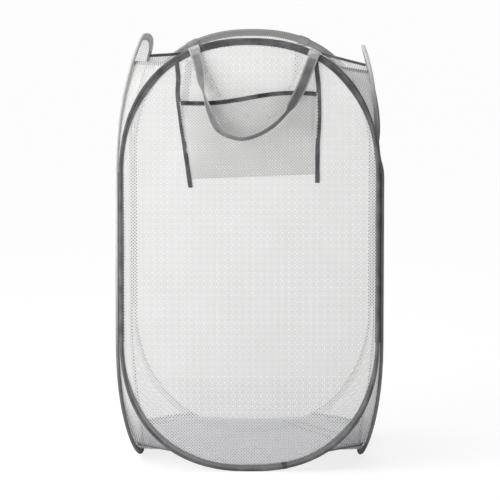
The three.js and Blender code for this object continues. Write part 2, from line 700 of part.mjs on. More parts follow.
// The keeper strap hangs down inside the front wall from just below the binding.
function addKeeper() {
  const inset = legOnCap + keeperTopGap;
  const top = quarterPlace(frontWall, angleAcross(keeperLeft - keeperWidth / 2, inset), inset, true).height;
  const drop = angleAcross(keeperLeft + keeperWidth / 2, inset);
  const start = Math.min(top, quarterPlace(frontWall, drop, inset, true).height);
  const rows = Array.from({ length: keeperSteps + 1 }, (_, i) => {
    const share = i / keeperSteps;
    const middle = -keeperLeft - share * keeperSlant;
    return [-1, 1].map((side) => {
      const across = middle + (side * keeperWidth) / 2;
      return onWall(frontWall, across, start - share * keeperLength, -keeperDepth);
    });
  });
  addMesh("keeper_strap", sheetBody(rows, strapThickness), paleStrapLook);
}

for (const wall of walls) {
  addHoop(wall);
  addWallMesh(wall);
}
for (const corner of corners) {
  addWeb(corner, "top", true, webTopEnd);
  addWeb(corner, "bottom", false, webBottomEnd);
  addHingeStrip(corner);
}
addBase();
addPocket();
addHandle(frontWall);
addHandle(backWall);
addKeeper();

export default hamper;
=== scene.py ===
"""A pop up laundry hamper of pale net on four bound steel hoops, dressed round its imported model.

Sizes are in millimetres, as a maker would write them, and become metres where a mesh is made.
A hoop's places are written as across (from the middle of its wall) and height (above its middle).
"""
import math

import bpy
import numpy as np
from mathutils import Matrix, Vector


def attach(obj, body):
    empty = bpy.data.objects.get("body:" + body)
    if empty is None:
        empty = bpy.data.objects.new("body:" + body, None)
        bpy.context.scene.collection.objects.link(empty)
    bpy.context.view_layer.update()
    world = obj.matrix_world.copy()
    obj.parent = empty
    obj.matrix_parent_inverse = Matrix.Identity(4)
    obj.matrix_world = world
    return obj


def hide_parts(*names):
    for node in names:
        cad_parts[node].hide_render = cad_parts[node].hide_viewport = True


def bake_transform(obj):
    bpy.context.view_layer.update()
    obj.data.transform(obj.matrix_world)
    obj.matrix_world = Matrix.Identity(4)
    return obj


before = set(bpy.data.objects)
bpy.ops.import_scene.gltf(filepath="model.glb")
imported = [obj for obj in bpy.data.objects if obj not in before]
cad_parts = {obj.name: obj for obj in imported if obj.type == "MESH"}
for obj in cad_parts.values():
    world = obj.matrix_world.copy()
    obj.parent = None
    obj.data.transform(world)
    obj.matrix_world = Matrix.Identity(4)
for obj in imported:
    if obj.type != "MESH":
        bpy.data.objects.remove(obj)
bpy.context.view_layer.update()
bpy.ops.object.select_all(action="DESELECT")

MM = 0.001
QUARTER = math.pi / 2

# ------------------------ camera
CAMERA_PLACE = (50.26, -4199.7, 756.7)
CAMERA_FOCAL = 216.78  # for a 36 mm wide sensor
CAMERA_PITCH = 6.3996  # degrees down
CAMERA_YAW = 0.7061  # degrees to the left

camera = bpy.data.objects.new("camera", bpy.data.cameras.new("camera"))
camera.data.sensor_width = 36
camera.data.lens = CAMERA_FOCAL
camera.location = Vector(CAMERA_PLACE) * MM
camera.rotation_euler = (math.radians(90 - CAMERA_PITCH), 0, math.radians(CAMERA_YAW))
bpy.context.scene.collection.objects.link(camera)
bpy.context.scene.camera = camera

# ------------------------ the hamper's sizes
HOOP_HALF_WIDTH = 172.8  # to the centre line of the wire
HOOP_HALF_HEIGHT = 292.4
UPRIGHT = 109.0  # half the length of the straight uprights
CAP_POWER = 2.3  # of the superellipse above and below the uprights
HINGE_OFFSET = 2.8
BEAD = 2.5  # radius of the bound wire
FOOT_FLAT = 0.5
LEG_FACE = 1.15  # from the net's plane to the outside of a leg of the binding
LEG_ON_UPRIGHT = 3.2
LEG_ON_CAP = 7.4
TAPE_WALL = 0.45
LEAN_POWER = 2.3
CAP = HOOP_HALF_HEIGHT - UPRIGHT
WALL_DISTANCE = HOOP_HALF_WIDTH + 2 * HINGE_OFFSET
HOOP_MIDDLE = HOOP_HALF_HEIGHT + BEAD - FOOT_FLAT

LEFT_BACK_PULL = 32.0  # how far the left hoop's tip is pulled in beside the back left web
RIGHT_FRONT_PULL = 6.0  # and the right hoop beside the front right web
TIP_BEND_EASE = 0.006  # rounds the bend at the left hoop's tip, as a squared share of its half width
TWIST_EASE = 0.17  # the share of the right hoop's climb over which its twist begins
TWIST_PEAK = 27 / 4  # brings the peak of climb * (1 - climb)**2 to 1

WALLS = {
    "front": {"quarters": 0, "lean_top": 21.0, "lean_bottom": 21.5, "top_drop": 0.0},
    "right": {"quarters": 1, "lean_top": 22.0, "lean_bottom": 26.0, "top_drop": 16.0},
    "back": {"quarters": 2, "lean_top": 21.0, "lean_bottom": 21.5, "top_drop": 0.0},
    "left": {"quarters": 3, "lean_top": 29.0, "lean_bottom": 24.5, "top_drop": 0.0},
}
# Each corner: its wall on the left and on the right, seen from outside, and the bodies it bends between.
CORNERS = {
    "front_right": ("front", "right", "front", "right"),
    "back_right": ("right", "back", "right", "back_right_corner"),
    "back_left": ("back", "left", "back", "left"),
    "front_left": ("left", "front", "left", "front"),
}


# ------------------------ places on the walls
def turned(quarters, vectors):
    """Vectors given for the front wall, turned to another wall."""
    x, y, z = np.moveaxis(np.asarray(vectors, float), -1, 0)
    for _ in range(quarters):
        x, y = -y, x
    return np.stack([x, y, z], axis=-1)


def unit(vectors):
    """Vectors brought to a length of one."""
    return vectors / np.linalg.norm(vectors, axis=-1, keepdims=True)


def pull_at(wall, across, climb):
    """How far one side of a hoop is pulled in further, and how steeply across it and up its cap."""
    share = -across / HOOP_HALF_WIDTH
    if wall is WALLS["left"]:  # only its far half, with the bend at its tip eased
        far = np.sqrt(share**2 + TIP_BEND_EASE)
        half, turn = (share + far) / 2, (1 + share / far) / 2
        rise = LEFT_BACK_PULL * climb**LEAN_POWER
        steep = LEFT_BACK_PULL * LEAN_POWER * climb ** (LEAN_POWER - 1)
        return half * rise, -turn * rise / HOOP_HALF_WIDTH, half * steep
    if wall is WALLS["right"]:  # a twist of the whole cap
        eased = RIGHT_FRONT_PULL * smooth_step(climb, 0, TWIST_EASE)
        rise = eased * TWIST_PEAK * climb * (1 - climb) ** 2
        steep = eased * TWIST_PEAK * (1 - climb) * (1 - 3 * climb)
        return share * rise, -rise / HOOP_HALF_WIDTH, share * steep
    return 0 * climb, 0 * climb, 0 * climb


def lean_at(wall, across, height):
    """How far a wall leans in at a place, and how steeply across it and upwards."""
    across, height = np.broadcast_arrays(np.asarray(across, float), np.asarray(height, float))
    cap = np.where(height > 0, CAP - wall["top_drop"], CAP)
    most = np.where(height > 0, wall["lean_top"], wall["lean_bottom"])
    climb = np.clip(np.abs(height) - UPRIGHT, 0, None) / cap
    slope = np.sign(height) * most * LEAN_POWER * climb ** (LEAN_POWER - 1) / cap
    pull, pull_across, pull_up = pull_at(wall, across, np.where(height > 0, climb, 0))
    return most * climb**LEAN_POWER + pull, pull_across, slope + pull_up / cap


def wall_normal(wall, across, height):
    _, across_slope, slope = lean_at(wall, across, height)
    return turned(wall["quarters"], unit(np.stack([across_slope, slope * 0 - 1, slope], axis=-1)))


def on_wall(wall, across, height, out=0.0):
    """Points of a wall, standing out from its net."""
    across, height, out = np.broadcast_arrays(*(np.asarray(v, float) for v in (across, height, out)))
    lean = lean_at(wall, across, height)[0]
    point = np.stack([across, lean - WALL_DISTANCE, height + HOOP_MIDDLE], axis=-1)
    return turned(wall["quarters"], point) + wall_normal(wall, across, height) * out[..., None]


def quarter_place(wall, angle, inset, above):
    """Across and height on the right half of a hoop, from 0 on the upright to a quarter turn at the middle."""
    angle = np.asarray(angle, float)
    cap = CAP - (wall["top_drop"] if above else 0)
    across = (HOOP_HALF_WIDTH - inset) * np.abs(np.cos(angle)) ** (2 / CAP_POWER)
    height = UPRIGHT + (cap - inset) * np.abs(np.sin(angle)) ** (2 / CAP_POWER)
    return across, (height if above else -height)


def angle_across(across, inset=0.0):
    return math.acos((across / (HOOP_HALF_WIDTH - inset)) ** (CAP_POWER / 2))


def smooth_step(value, low, high):
    share = np.clip((np.asarray(value, float) - low) / (high - low), 0, 1)
    return share * share * (3 - 2 * share)


def leg_length(angle):
    return LEG_ON_UPRIGHT + (LEG_ON_CAP - LEG_ON_UPRIGHT) * smooth_step(angle, 0, QUARTER / 2)


def lengths_along(points, closed=False):
    """The distance along a row of points, with the whole length at the end of a closed row."""
    row = np.concatenate([points, points[:1]]) if closed else points
    return np.concatenate([[0], np.cumsum(np.linalg.norm(np.diff(row, axis=0), axis=1))])


def resampled(points, step, start=0.0, closed=False):
    """Places at even steps along a row of points, and the way along at each."""
    row = np.concatenate([points, points[:1]]) if closed else points
    run = lengths_along(points, closed)
    places = np.arange(start, run[-1] - start, step)
    pick = lambda at: np.stack([np.interp(at, run, row[:, k]) for k in range(3)], axis=1)
    ways = pick(np.minimum(places + 0.5, run[-1])) - pick(np.maximum(places - 0.5, 0))
    return pick(places), unit(ways)


CAP_STEPS = 44
UPRIGHT_STEPS = 22


def hoop_frames(wall):
    """A hoop's points, with the way in from each, the way out of the wall, and the length of the legs."""
    rising = np.linspace(0, QUARTER, CAP_STEPS + 1)
    straight = np.linspace(-UPRIGHT, UPRIGHT, UPRIGHT_STEPS + 1)[1:-1]
    across, height, legs = [], [], []
    for side, above, angles in ((1, True, rising[:-1]), (-1, True, rising[::-1]),
                                (-1, False, rising[:-1]), (1, False, rising[::-1])):
        x, y = quarter_place(wall, angles, 0, above)
        across.append(side * x)
        height.append(y)
        legs.append(leg_length(angles))
        if (side, above) in ((-1, True), (1, False)):
            across.append(np.full(len(straight), side * HOOP_HALF_WIDTH))
            height.append(straight[::-1] if above else straight)
            legs.append(np.full(len(straight), LEG_ON_UPRIGHT))
    across, height, legs = (np.concatenate(v) for v in (across, height, legs))
    point = on_wall(wall, across, height)
    along = unit(np.roll(point, -1, axis=0) - np.roll(point, 1, axis=0))
    out = wall_normal(wall, across, height)
    return {"point": point, "inward": unit(np.cross(out, along)), "out": out, "leg": legs, "across": across,
            "height": height, "run": lengths_along(point, closed=True)}


# ------------------------ materials
def hex_colour(code):
    """An sRGB hex colour as the linear values that Blender works in."""
    parts = [int(code[i:i + 2], 16) / 255 for i in (1, 3, 5)]
    return (*(p / 12.92 if p <= 0.04045 else ((p + 0.055) / 1.055) ** 2.4 for p in parts), 1.0)


def add_node(tree, kind, inputs=None, **settings):
    """Adds a node with its settings, and sets or links its inputs."""
    node = tree.nodes.new(kind)
    for name, value in settings.items():
        setattr(node, name, value)
    for socket, value in (inputs or {}).items():
        if isinstance(value, bpy.types.NodeSocket):
            tree.links.new(value, node.inputs[socket])
        else:
            node.inputs[socket].default_value = value
    return node


def new_material(name, roughness, metallic=0.0, sheen=0.0, ior=1.5, gloss=0.5):
    material = bpy.data.materials.new(name)
    material.use_nodes = True
    tree = material.node_tree
    tree.nodes.clear()
    shader = add_node(tree, "ShaderNodeBsdfPrincipled", {
        "Roughness": roughness, "Metallic": metallic, "IOR": ior, "Specular IOR Level": gloss,
        "Sheen Weight": sheen, "Sheen Roughness": 0.5})
    add_node(tree, "ShaderNodeOutputMaterial", {"Surface": shader.outputs[0]})
    return material, tree, shader


def mixed(tree, factor, first, second, blend="MIX"):
    """The socket of a colour mixed from two."""
    node = add_node(tree, "ShaderNodeMix", {0: factor, 6: first, 7: second}, data_type="RGBA", blend_type=blend)
    return node.outputs[2]


def ramp(tree, value, *stops):
    """The socket of a grey that follows a value through stops of (place, level)."""
    node = add_node(tree, "ShaderNodeValToRGB", {0: value})
    elements = node.color_ramp.elements
    while len(elements) < len(stops):
        elements.new(0.5)
    for element, (place, level) in zip(elements, stops):
        element.position = place
        element.color = (level, level, level, 1)
    return node.outputs[0]


def computed(tree, operation, *values):
    """The socket of one sum on numbers or sockets."""
    return add_node(tree, "ShaderNodeMath", dict(enumerate(values)), operation=operation).outputs[0]


def ranged(tree, value, start, end, first=0.0, last=1.0, kind="LINEAR"):
    """The socket of a value that goes from first at start to last at end."""
    return add_node(tree, "ShaderNodeMapRange", {0: value, 1: start, 2: end, 3: first, 4: last},
                    interpolation_type=kind).outputs[0]


def uv_map(tree):
    return add_node(tree, "ShaderNodeUVMap").outputs[0]


def split(tree, vector):
    """The sockets of a vector's X, Y and Z."""
    return add_node(tree, "ShaderNodeSeparateXYZ", {0: vector}).outputs


def height_of(tree):
    """The socket of the height above the floor, in metres."""
    return split(tree, add_node(tree, "ShaderNodeTexCoord").outputs[3])[2]


def show(tree, surface):
    """Puts a mixed surface in place of the plain one."""
    tree.links.new(surface, next(n for n in tree.nodes if n.type == "OUTPUT_MATERIAL").inputs[0])


def threads(tree, along, across, turn=0.0):
    """A woven relief from two sets of threads, whose spacing is in millimetres, along the UV map."""
    uv = uv_map(tree)
    if turn:
        uv = add_node(tree, "ShaderNodeMapping", {0: uv, 2: (0, 0, math.radians(turn))}).outputs[0]
    # A wave repeats every pi / 10 of a unit at scale 1.
    waves = [
        add_node(tree, "ShaderNodeTexWave", {0: uv, 1: math.pi / 10 / (spacing * MM), 2: 0.0},
                 bands_direction=direction).outputs[1]
        for direction, spacing in (("X", along), ("Y", across))
    ]
    return computed(tree, "MULTIPLY", *waves)


def cloud(tree, size, detail=3.0):
    """Soft irregular patches of about this many millimetres."""
    place = add_node(tree, "ShaderNodeTexCoord").outputs[3]
    return add_node(tree, "ShaderNodeTexNoise", {0: place, 2: 1 / (size * MM), 3: detail}).outputs[0]


def finished(tree, shader, colour, height=None, depth=0.0, strength=0.6):
    """Gives a shader its colour and, from a height, its fine relief, whose depth is in millimetres."""
    tree.links.new(colour, shader.inputs["Base Color"])
    if height is None:
        return
    bump = add_node(tree, "ShaderNodeBump", {"Height": height, "Distance": depth * MM, "Strength": strength})
    tree.links.new(bump.outputs[0], shader.inputs["Normal"])


TAPE_SPAN = 12.0  # from the middle of a tape's fold, the width that its ramps run over


def woven_tape(name, bead, leg, top=None, top_shading_span=(0.435, 0.565), rim="#434345", rim_start=0.85):
    """Woven polyester binding tape, slit and folded: fine close threads, a dull face, a paler leg where it
    is pressed flat over the net, and a dark cut edge. The threads are 0.3 mm apart and drawn at 0.9 mm to show."""
    material, tree, shader = new_material(name, 0.8, sheen=0.08, gloss=0.2)
    width = computed(tree, "MULTIPLY", split(tree, uv_map(tree))[1], 1 / (TAPE_SPAN * MM))
    width = computed(tree, "ABSOLUTE", width)
    flat = ramp(tree, width, (0.0, 0.0), (0.46, 0.0), (0.58, 1.0), (0.84, 1.0), (0.92, 0.1))
    colour = mixed(tree, flat, hex_colour(bead), hex_colour(leg))
    cut = ramp(tree, width, (rim_start, 0.0), (rim_start + 0.06, 1.0))
    # Above the height span the tape is mixed towards its top colour: painted highlight on the side hoops, and darker
    # towards the top on the front and back hoops.
    if top:
        top_shading_share = ranged(tree, height_of(tree), *top_shading_span, kind="SMOOTHSTEP")
        colour = mixed(tree, top_shading_share, colour, hex_colour(top))
    colour = mixed(tree, cut, colour, hex_colour(rim))
    weave = threads(tree, 0.9, 0.9)
    # The hollows between the threads are darkened as painted shade.
    colour = mixed(tree, ramp(tree, weave, (0.0, 0.22), (0.6, 0.0)), colour, hex_colour("#3c3c3e"))
    colour = mixed(tree, ramp(tree, cloud(tree, 22), (0.38, 0.0), (0.68, 0.26)), colour, hex_colour("#9a9a9a"))
    finished(tree, shader, colour, weave, 0.12)
    return material


NET_TRANSLUCENCE = 0.3  # the share of light that goes through the thin white yarn


def knitted_net(name, light, dark, foot=None, edge=(0.03, 0.11)):
    """Knitted polyester net: matt white yarn whose loops run both ways along the strands, greyed with painted shade
    below its edge near the floor. The yarn is 0.2 mm and its loops are drawn at 0.7 mm to show."""
    material, tree, shader = new_material(name, 0.85, sheen=0.1)
    loops = threads(tree, 0.7, 0.7, turn=45)
    colour = mixed(tree, ramp(tree, cloud(tree, 60, 2.0), (0.3, 0.0), (0.7, 1.0)), hex_colour(light), hex_colour(dark))
    # Painted shade: near the floor, below the edge span, the net is greyed towards its foot colour.
    if foot:
        low = ranged(tree, height_of(tree), *edge, 1.0, 0.0, kind="SMOOTHSTEP")
        colour = mixed(tree, low, colour, hex_colour(foot))
    # The hollows between the loops are darkened as painted shade.
    colour = mixed(tree, ramp(tree, loops, (0.0, 0.16), (0.5, 0.0)), colour, hex_colour("#a4a4a6"))
    finished(tree, shader, colour, loops, 0.08)
    through = add_node(tree, "ShaderNodeBsdfTranslucent", {"Color": colour})
    both = add_node(tree, "ShaderNodeMixShader", {0: NET_TRANSLUCENCE, 1: shader.outputs[0], 2: through.outputs[0]})
    show(tree, both.outputs[0])
    return material


SELVAGE_PAINTED_SHADE = (65, 110)  # from the strap's end, where its pale selvage is dimmed, as painted shade on the strap's low loop
STRAP_FOLD_FADE = (5, 9)  # and where the pale of its fold ends


def webbing(name, face, edge, width, fold=None):
    """Woven polypropylene webbing: ribs across it that catch the light, and a smoother selvage on both edges."""
    material, tree, shader = new_material(name, 0.6, sheen=0.1, gloss=0.3)
    run, out, _ = split(tree, uv_map(tree))
    out = computed(tree, "ABSOLUTE", computed(tree, "MULTIPLY", out, 2 / (width * MM)))
    rim = ramp(tree, out, (0.6, 0.0), (0.82, 1.0))
    # Painted shade: away from the ends the pale selvage is dimmed.
    rim = computed(tree, "MULTIPLY", rim, ranged(tree, run, *(at * MM for at in SELVAGE_PAINTED_SHADE), 1.0, 0.3))
    colour = mixed(tree, rim, hex_colour(face), hex_colour(edge))
    if fold:
        near = ranged(tree, run, *(at * MM for at in STRAP_FOLD_FADE), 1.0, 0.0)
        colour = mixed(tree, near, colour, hex_colour(fold))
    ribs = threads(tree, 1.5, 1.75)
    # The hollows between the ribs are darkened as painted shade.
    colour = mixed(tree, ramp(tree, ribs, (0.0, 0.28), (0.55, 0.0)), colour, hex_colour("#5c5c5c"))
    colour = mixed(tree, ramp(tree, cloud(tree, 18), (0.35, 0.0), (0.75, 0.2)), colour, hex_colour("#c4c4c2"))
    finished(tree, shader, colour, ribs, 0.25)
    return material


def spun_thread(name, code):
    """Spun polyester sewing thread: dull, with its twist as a fine slant."""
    material, tree, shader = new_material(name, 0.8, sheen=0.2)
    colour = mixed(tree, ramp(tree, cloud(tree, 1.2), (0.4, 0.0), (0.6, 0.3)), hex_colour(code), hex_colour("#9a9a9a"))
    finished(tree, shader, colour)
    return material


def drawn_steel(name, code, roughness):
    """Drawn spring steel: bright, with fine marks along it from the die."""
    material, tree, shader = new_material(name, roughness, metallic=1.0)
    marks = cloud(tree, 0.8, 4.0)
    colour = mixed(tree, ramp(tree, marks, (0.3, 0.0), (0.7, 0.35)), hex_colour(code), hex_colour("#6f7073"))
    finished(tree, shader, colour, marks, 0.02, 0.3)
    return material


FRONT_TAPE = woven_tape("woven_polyester_tape", "#515152", "#787877", top="#454546", top_shading_span=(0.42, 0.54))
# The back hoop's tape is a paler copy of the others, as painted light from behind.
BACK_TAPE_PAINTED_LIGHT = woven_tape("woven_polyester_tape_back_painted_light", "#a8a8a7", "#b8b8b6", top="#9e9e9b", rim="#262628", rim_start=0.79)
# The side hoops' pale tops are painted highlight from the light above and from the left.
RIGHT_TAPE_PAINTED_HIGHLIGHT = woven_tape("woven_polyester_tape_right_painted_highlight", "#70706f", "#868685", top="#d6d6d4", rim="#8a8a89")
LEFT_TAPE_PAINTED_HIGHLIGHT = woven_tape("woven_polyester_tape_left_painted_highlight", "#5a5a5b", "#6e6e6d", top="#d4d4d2", top_shading_span=(0.08, 0.4),
                       rim="#8a8a89")
NARROW_TAPE = woven_tape("narrow_polyester_tape", "#434345", "#4f4f51")
MOUTH_TAPE = woven_tape("narrow_polyester_tape_mouth", "#262628", "#2e2e30", rim="#2c2c2e")
# The back hinge strips' tape is a paler copy, as painted light.
BACK_NARROW_TAPE_PAINTED_LIGHT = woven_tape("narrow_polyester_tape_back_painted_light", "#adadab", "#bababa")
# The foot colours of the nets are painted shade near the floor.
NET = knitted_net("knitted_polyester_net", "#edeceb", "#e8e8e6", foot="#dadadc", edge=(0.069, 0.081))
SIDE_NET = knitted_net("knitted_polyester_net_side", "#eaeae8", "#e2e2e0", foot="#d2d2d4")
# The webs' net is a darker copy, as painted shade, and darker still at its foot.
WEB_NET_PAINTED_SHADE = knitted_net("knitted_polyester_net_web_painted_shade", "#dededc", "#d2d2d0", foot="#a6a6a8")
# The dark hem net also draws the base's folds, as painted shade.
HEM_AND_FOLD_SHADE_NET = knitted_net("knitted_polyester_net_hem_and_fold_shade", "#949496", "#8a8a8c")
POCKET_NET = knitted_net("knitted_polyester_net_pocket", "#d2d2d0", "#c9c9c7")
# The base net is a grey copy of the white net, as painted shade.
BASE_NET_PAINTED_SHADE = knitted_net("knitted_polyester_net_base_painted_shade", "#b9b9bb", "#ababad")
STRAP = webbing("polypropylene_webbing", "#565657", "#a0a09d", 14, fold="#a4a4a1")
PALE_STRAP = webbing("pale_polypropylene_webbing", "#bababa", "#c8c8c6", 14)
# The back strap's wraps are a paler copy, as painted light.
BACK_STRAP_PAINTED_LIGHT = webbing("polypropylene_webbing_back_painted_light", "#969694", "#a4a4a2", 14)
THREAD = spun_thread("spun_polyester_thread", "#4f4f51")
PALE_THREAD = spun_thread("pale_polyester_thread", "#c9c9c7")
STEEL = drawn_steel("drawn_spring_steel", "#c2c3c5", 0.28)
SLEEVE = drawn_steel("crimped_steel_sleeve", "#a9aaac", 0.42)

for node_name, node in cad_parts.items():
    if "wire" in node_name:
        node.data.materials.clear()
        node.data.materials.append(SLEEVE if "ferrule" in node_name else STEEL)


# ------------------------ making pieces
PIECES = []


def new_piece(name, points, faces, uvs, material):
    """A mesh object from points in millimetres and one UV pair, in metres, for each corner of each face."""
    mesh = bpy.data.meshes.new(name)
    mesh.from_pydata((np.asarray(points) * MM).tolist(), [], faces)
    layer = mesh.uv_layers.new(name="UVMap")
    layer.data.foreach_set("uv", (np.asarray(uvs, np.float32) * MM).ravel())
    mesh.polygons.foreach_set("use_smooth", np.ones(len(mesh.polygons), bool))
    mesh.materials.append(material)
    piece = bpy.data.objects.new(name, mesh)
    bpy.context.scene.collection.objects.link(piece)
    PIECES.append(piece)
    return piece


def swept(name, rings, along, across, material, closed=False):
    """A tape or strap from rings of points. Along is each ring's distance, across each ring point's."""
    rings = np.asarray(rings, float)
    count, size = rings.shape[:2]
    rows = count if closed else count - 1
    i, j = np.divmod(np.arange(rows * size), size)
    i_next, j_next = (i + 1) % count, (j + 1) % size
    quads = np.stack([i * size + j, i * size + j_next, i_next * size + j_next, i_next * size + j], axis=1)
    along, across = np.asarray(along, float), np.asarray(across, float)
    uvs = np.stack([np.stack([along[a], across[b]], axis=-1)
                    for a, b in ((i, j), (i, j_next), (i + 1, j_next), (i + 1, j))], axis=1)
    flat = rings.reshape(-1, 3)
    a, b, c, d = (flat[quads[:, k]] for k in range(4))
    volume = np.einsum("ij,ij->", a, np.cross(b, c)) + np.einsum("ij,ij->", a, np.cross(c, d))
    faces, uvs = quads.tolist(), uvs.reshape(-1, 2).tolist()
    if not closed:
        ends = ((list(range(size))[::-1], 0), (list(range((count - 1) * size, count * size)), count - 1))
        for end, row in ends:
            faces.append(end)
            uvs.extend([along[row], across[k % size]] for k in end)
    if volume < 0:
        uvs = np.asarray(uvs)
        turned_uvs, start = [], 0
        for face in faces:
            turned_uvs.append(uvs[start:start + len(face)][::-1])
            start += len(face)
        faces, uvs = [face[::-1] for face in faces], np.concatenate(turned_uvs)
    return new_piece(name, flat, faces, uvs, material)


NET_PITCH = 4.4  # between holes, measured in the photograph
NET_HOLE = 0.52  # the hole's width as a share of its diamond


def net(name, reach, inside, clamp, locate, material, grain=0.0, hole=NET_HOLE):
    """A net of diamond holes, drawn flat, trimmed to an outline and laid on its surface. Grain turns it."""
    half = NET_PITCH / 2
    (x_low, x_high), (y_low, y_high) = reach
    middle = np.array([x_low + x_high, y_low + y_high]) / 2
    radius = math.ceil(math.hypot(x_high - x_low, y_high - y_low) / 2 / half) + 2
    cosine, sine = math.cos(math.radians(grain)), math.sin(math.radians(grain))
    spread = half * np.array([[cosine, sine], [-sine, cosine]])
    cells = np.arange(-radius, radius + 1)
    i, j = (v.ravel() for v in np.meshgrid(cells, cells, indexing="ij"))
    centre = np.stack([i, j], axis=1) @ spread + middle
    keep = ((i + j) % 2 == 0) & inside(*centre.T)
    i, j, centre = i[keep], j[keep], centre[keep][:, None, :]
    corner = np.stack([np.stack([i + a, j + b], axis=1) for a, b in ((1, 0), (0, 1), (-1, 0), (0, -1))], axis=1)
    knots, index = np.unique(corner.reshape(-1, 2), axis=0, return_inverse=True)
    index = index.reshape(-1, 4)
    holes = centre + hole * (corner @ spread + middle - centre)
    flat = np.concatenate([knots @ spread + middle, holes.reshape(-1, 2)])
    flat = np.stack(clamp(*flat.T), axis=1)
    hole = len(knots) + np.arange(len(i) * 4).reshape(-1, 4)
    quads = np.stack([np.stack([index[:, k], index[:, (k + 1) % 4], hole[:, (k + 1) % 4], hole[:, k]], axis=1)
                      for k in range(4)], axis=1).reshape(-1, 4)
    points = locate(flat[:, 0], flat[:, 1])
    return new_piece(name, points, quads.tolist(), flat[quads.ravel()], material)


def model_stitch():
    """One stitch: a sphere of a few faces, drawn out along X."""
    bpy.ops.mesh.primitive_uv_sphere_add(segments=5, ring_count=4, radius=1, rotation=(0, QUARTER, 0))
    ball = bpy.context.object
    bpy.ops.object.transform_apply(location=False, rotation=True, scale=False)
    points = np.array([v.co for v in ball.data.vertices])
    # Sorted, because Blender gives a sphere's faces in an order that changes from run to run.
    faces = sorted(list(p.vertices) for p in ball.data.polygons)
    bpy.data.objects.remove(ball)
    return points, faces


STITCH_POINTS, STITCH_FACES = model_stitch()
STITCH_PITCH = 3.4
STITCH_LENGTH = 2.7
STITCH_RADIUS = 0.24


def stitches(name, rows, material, body=None):
    """Rows of stitches as one piece. Each row is its places, the way along, and the way out of the cloth."""
    points, faces, count = [], [], len(STITCH_POINTS)
    for places, ways, outs in rows:
        side = unit(np.cross(outs, ways))
        up = np.cross(ways, side)
        base = sum(len(p) for p in points)
        shape = STITCH_POINTS * (STITCH_LENGTH / 2, STITCH_RADIUS, STITCH_RADIUS)
        block = (places[:, None, :] + ways[:, None, :] * shape[None, :, 0:1] + side[:, None, :] * shape[None, :, 1:2]
                 + up[:, None, :] * shape[None, :, 2:3]).reshape(-1, 3)
        points.append(block)
        for k in range(len(places)):
            faces.extend([v + base + k * count for v in face] for face in STITCH_FACES)
    points = np.concatenate(points)
    corners = sum(len(face) for face in faces)
    piece = new_piece(name, points, faces, np.zeros((corners, 2)), material)
    if body:
        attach(piece, body)
    return piece


def straight_row(start, end, out, lift=0.0):
    """A straight row of stitches between two points."""
    line = np.stack([start, end])
    places, ways = resampled(line, STITCH_PITCH, STITCH_PITCH / 2)
    outs = np.broadcast_to(unit(out), places.shape)
    return places + outs * lift, ways, outs


# ------------------------ binding of the hoops
def arc(radius, start, end, count):
    angles = np.linspace(start, end, count)
    return np.stack([radius * np.cos(angles), radius * np.sin(angles)], axis=1)


def folded_section(leg, face, radius, wall, count=15):
    """A tape folded round a wire: outside from one leg to the other, then back along its inside."""
    start = math.asin(face / radius)
    outer = arc(radius, start, 2 * math.pi - start, count)
    inner_face, inner_radius = face - wall, radius - wall
    start = math.asin(inner_face / inner_radius)
    inner = arc(inner_radius, start, 2 * math.pi - start, 7)
    middle = (leg + radius) / 2
    outside = [(leg, face - 0.12), (leg - 0.25, face), (middle, face), *outer, (middle, -face), (leg - 0.25, -face),
               (leg, 0.12 - face)]
    inside = [(leg, inner_face), *inner, (leg, -inner_face)]
    return np.array(outside + inside[::-1]), len(outside)


def section_widths(section, outside):
    """Each point's distance along the tape from the middle of its fold."""
    run = lengths_along(section[:outside])
    run = run - run[-1] / 2
    return np.concatenate([run, np.linspace(run[-1], run[0], len(section) - outside)])


def pucker(run):
    """The tape's small unevenness along its length, where stitches draw it in."""
    return 0.13 * np.sin(run / 2.9 + 1.7 * np.sin(run / 41)) + 0.1 * np.sin(run / 9.7)


def bound_rings(hoop, keep=slice(None), grow=0.0):
    """Rings of binding along a hoop. Grow makes the wider wrap of a lapped end."""
    rings, outside = [], 0
    uneven = pucker(hoop["run"][:-1])
    for k in np.arange(len(hoop["point"]))[keep]:
        section, outside = folded_section(hoop["leg"][k] + grow, LEG_FACE + grow, BEAD + grow, TAPE_WALL)
        n, w = section[:, 0].copy(), section[:, 1].copy()
        on_leg = smooth_step(n, 1.0, 4.0)
        n = n + 0.3 * on_leg * math.sin(hoop["run"][k] / 17)
        w = w + on_leg * uneven[k]
        rings.append(hoop["point"][k] + n[:, None] * hoop["inward"][k] + w[:, None] * hoop["out"][k])
    return np.array(rings), section_widths(section, outside)


def trimmed_to_floor(rings):
    """Rings pressed flat where the hoop stands on the floor."""
    rings[..., 2] = np.maximum(rings[..., 2], 0.0)
    return rings


HOOPS = {name: hoop_frames(wall) for name, wall in WALLS.items()}
TAPES = {"front": FRONT_TAPE, "right": RIGHT_TAPE_PAINTED_HIGHLIGHT, "back": BACK_TAPE_PAINTED_LIGHT, "left": LEFT_TAPE_PAINTED_HIGHLIGHT}
LAP_ACROSS = {"front": 45, "right": -6, "back": -38, "left": 6}  # where each tape's end is lapped, below
LAP_LENGTH = 13
LAP_GROW = 0.3  # how far the lapped end stands off the tape below it
BINDING_STITCH_INSET, BINDING_STITCH_LIFT = 1.3, 0.1  # from the tape's edge, and off its face

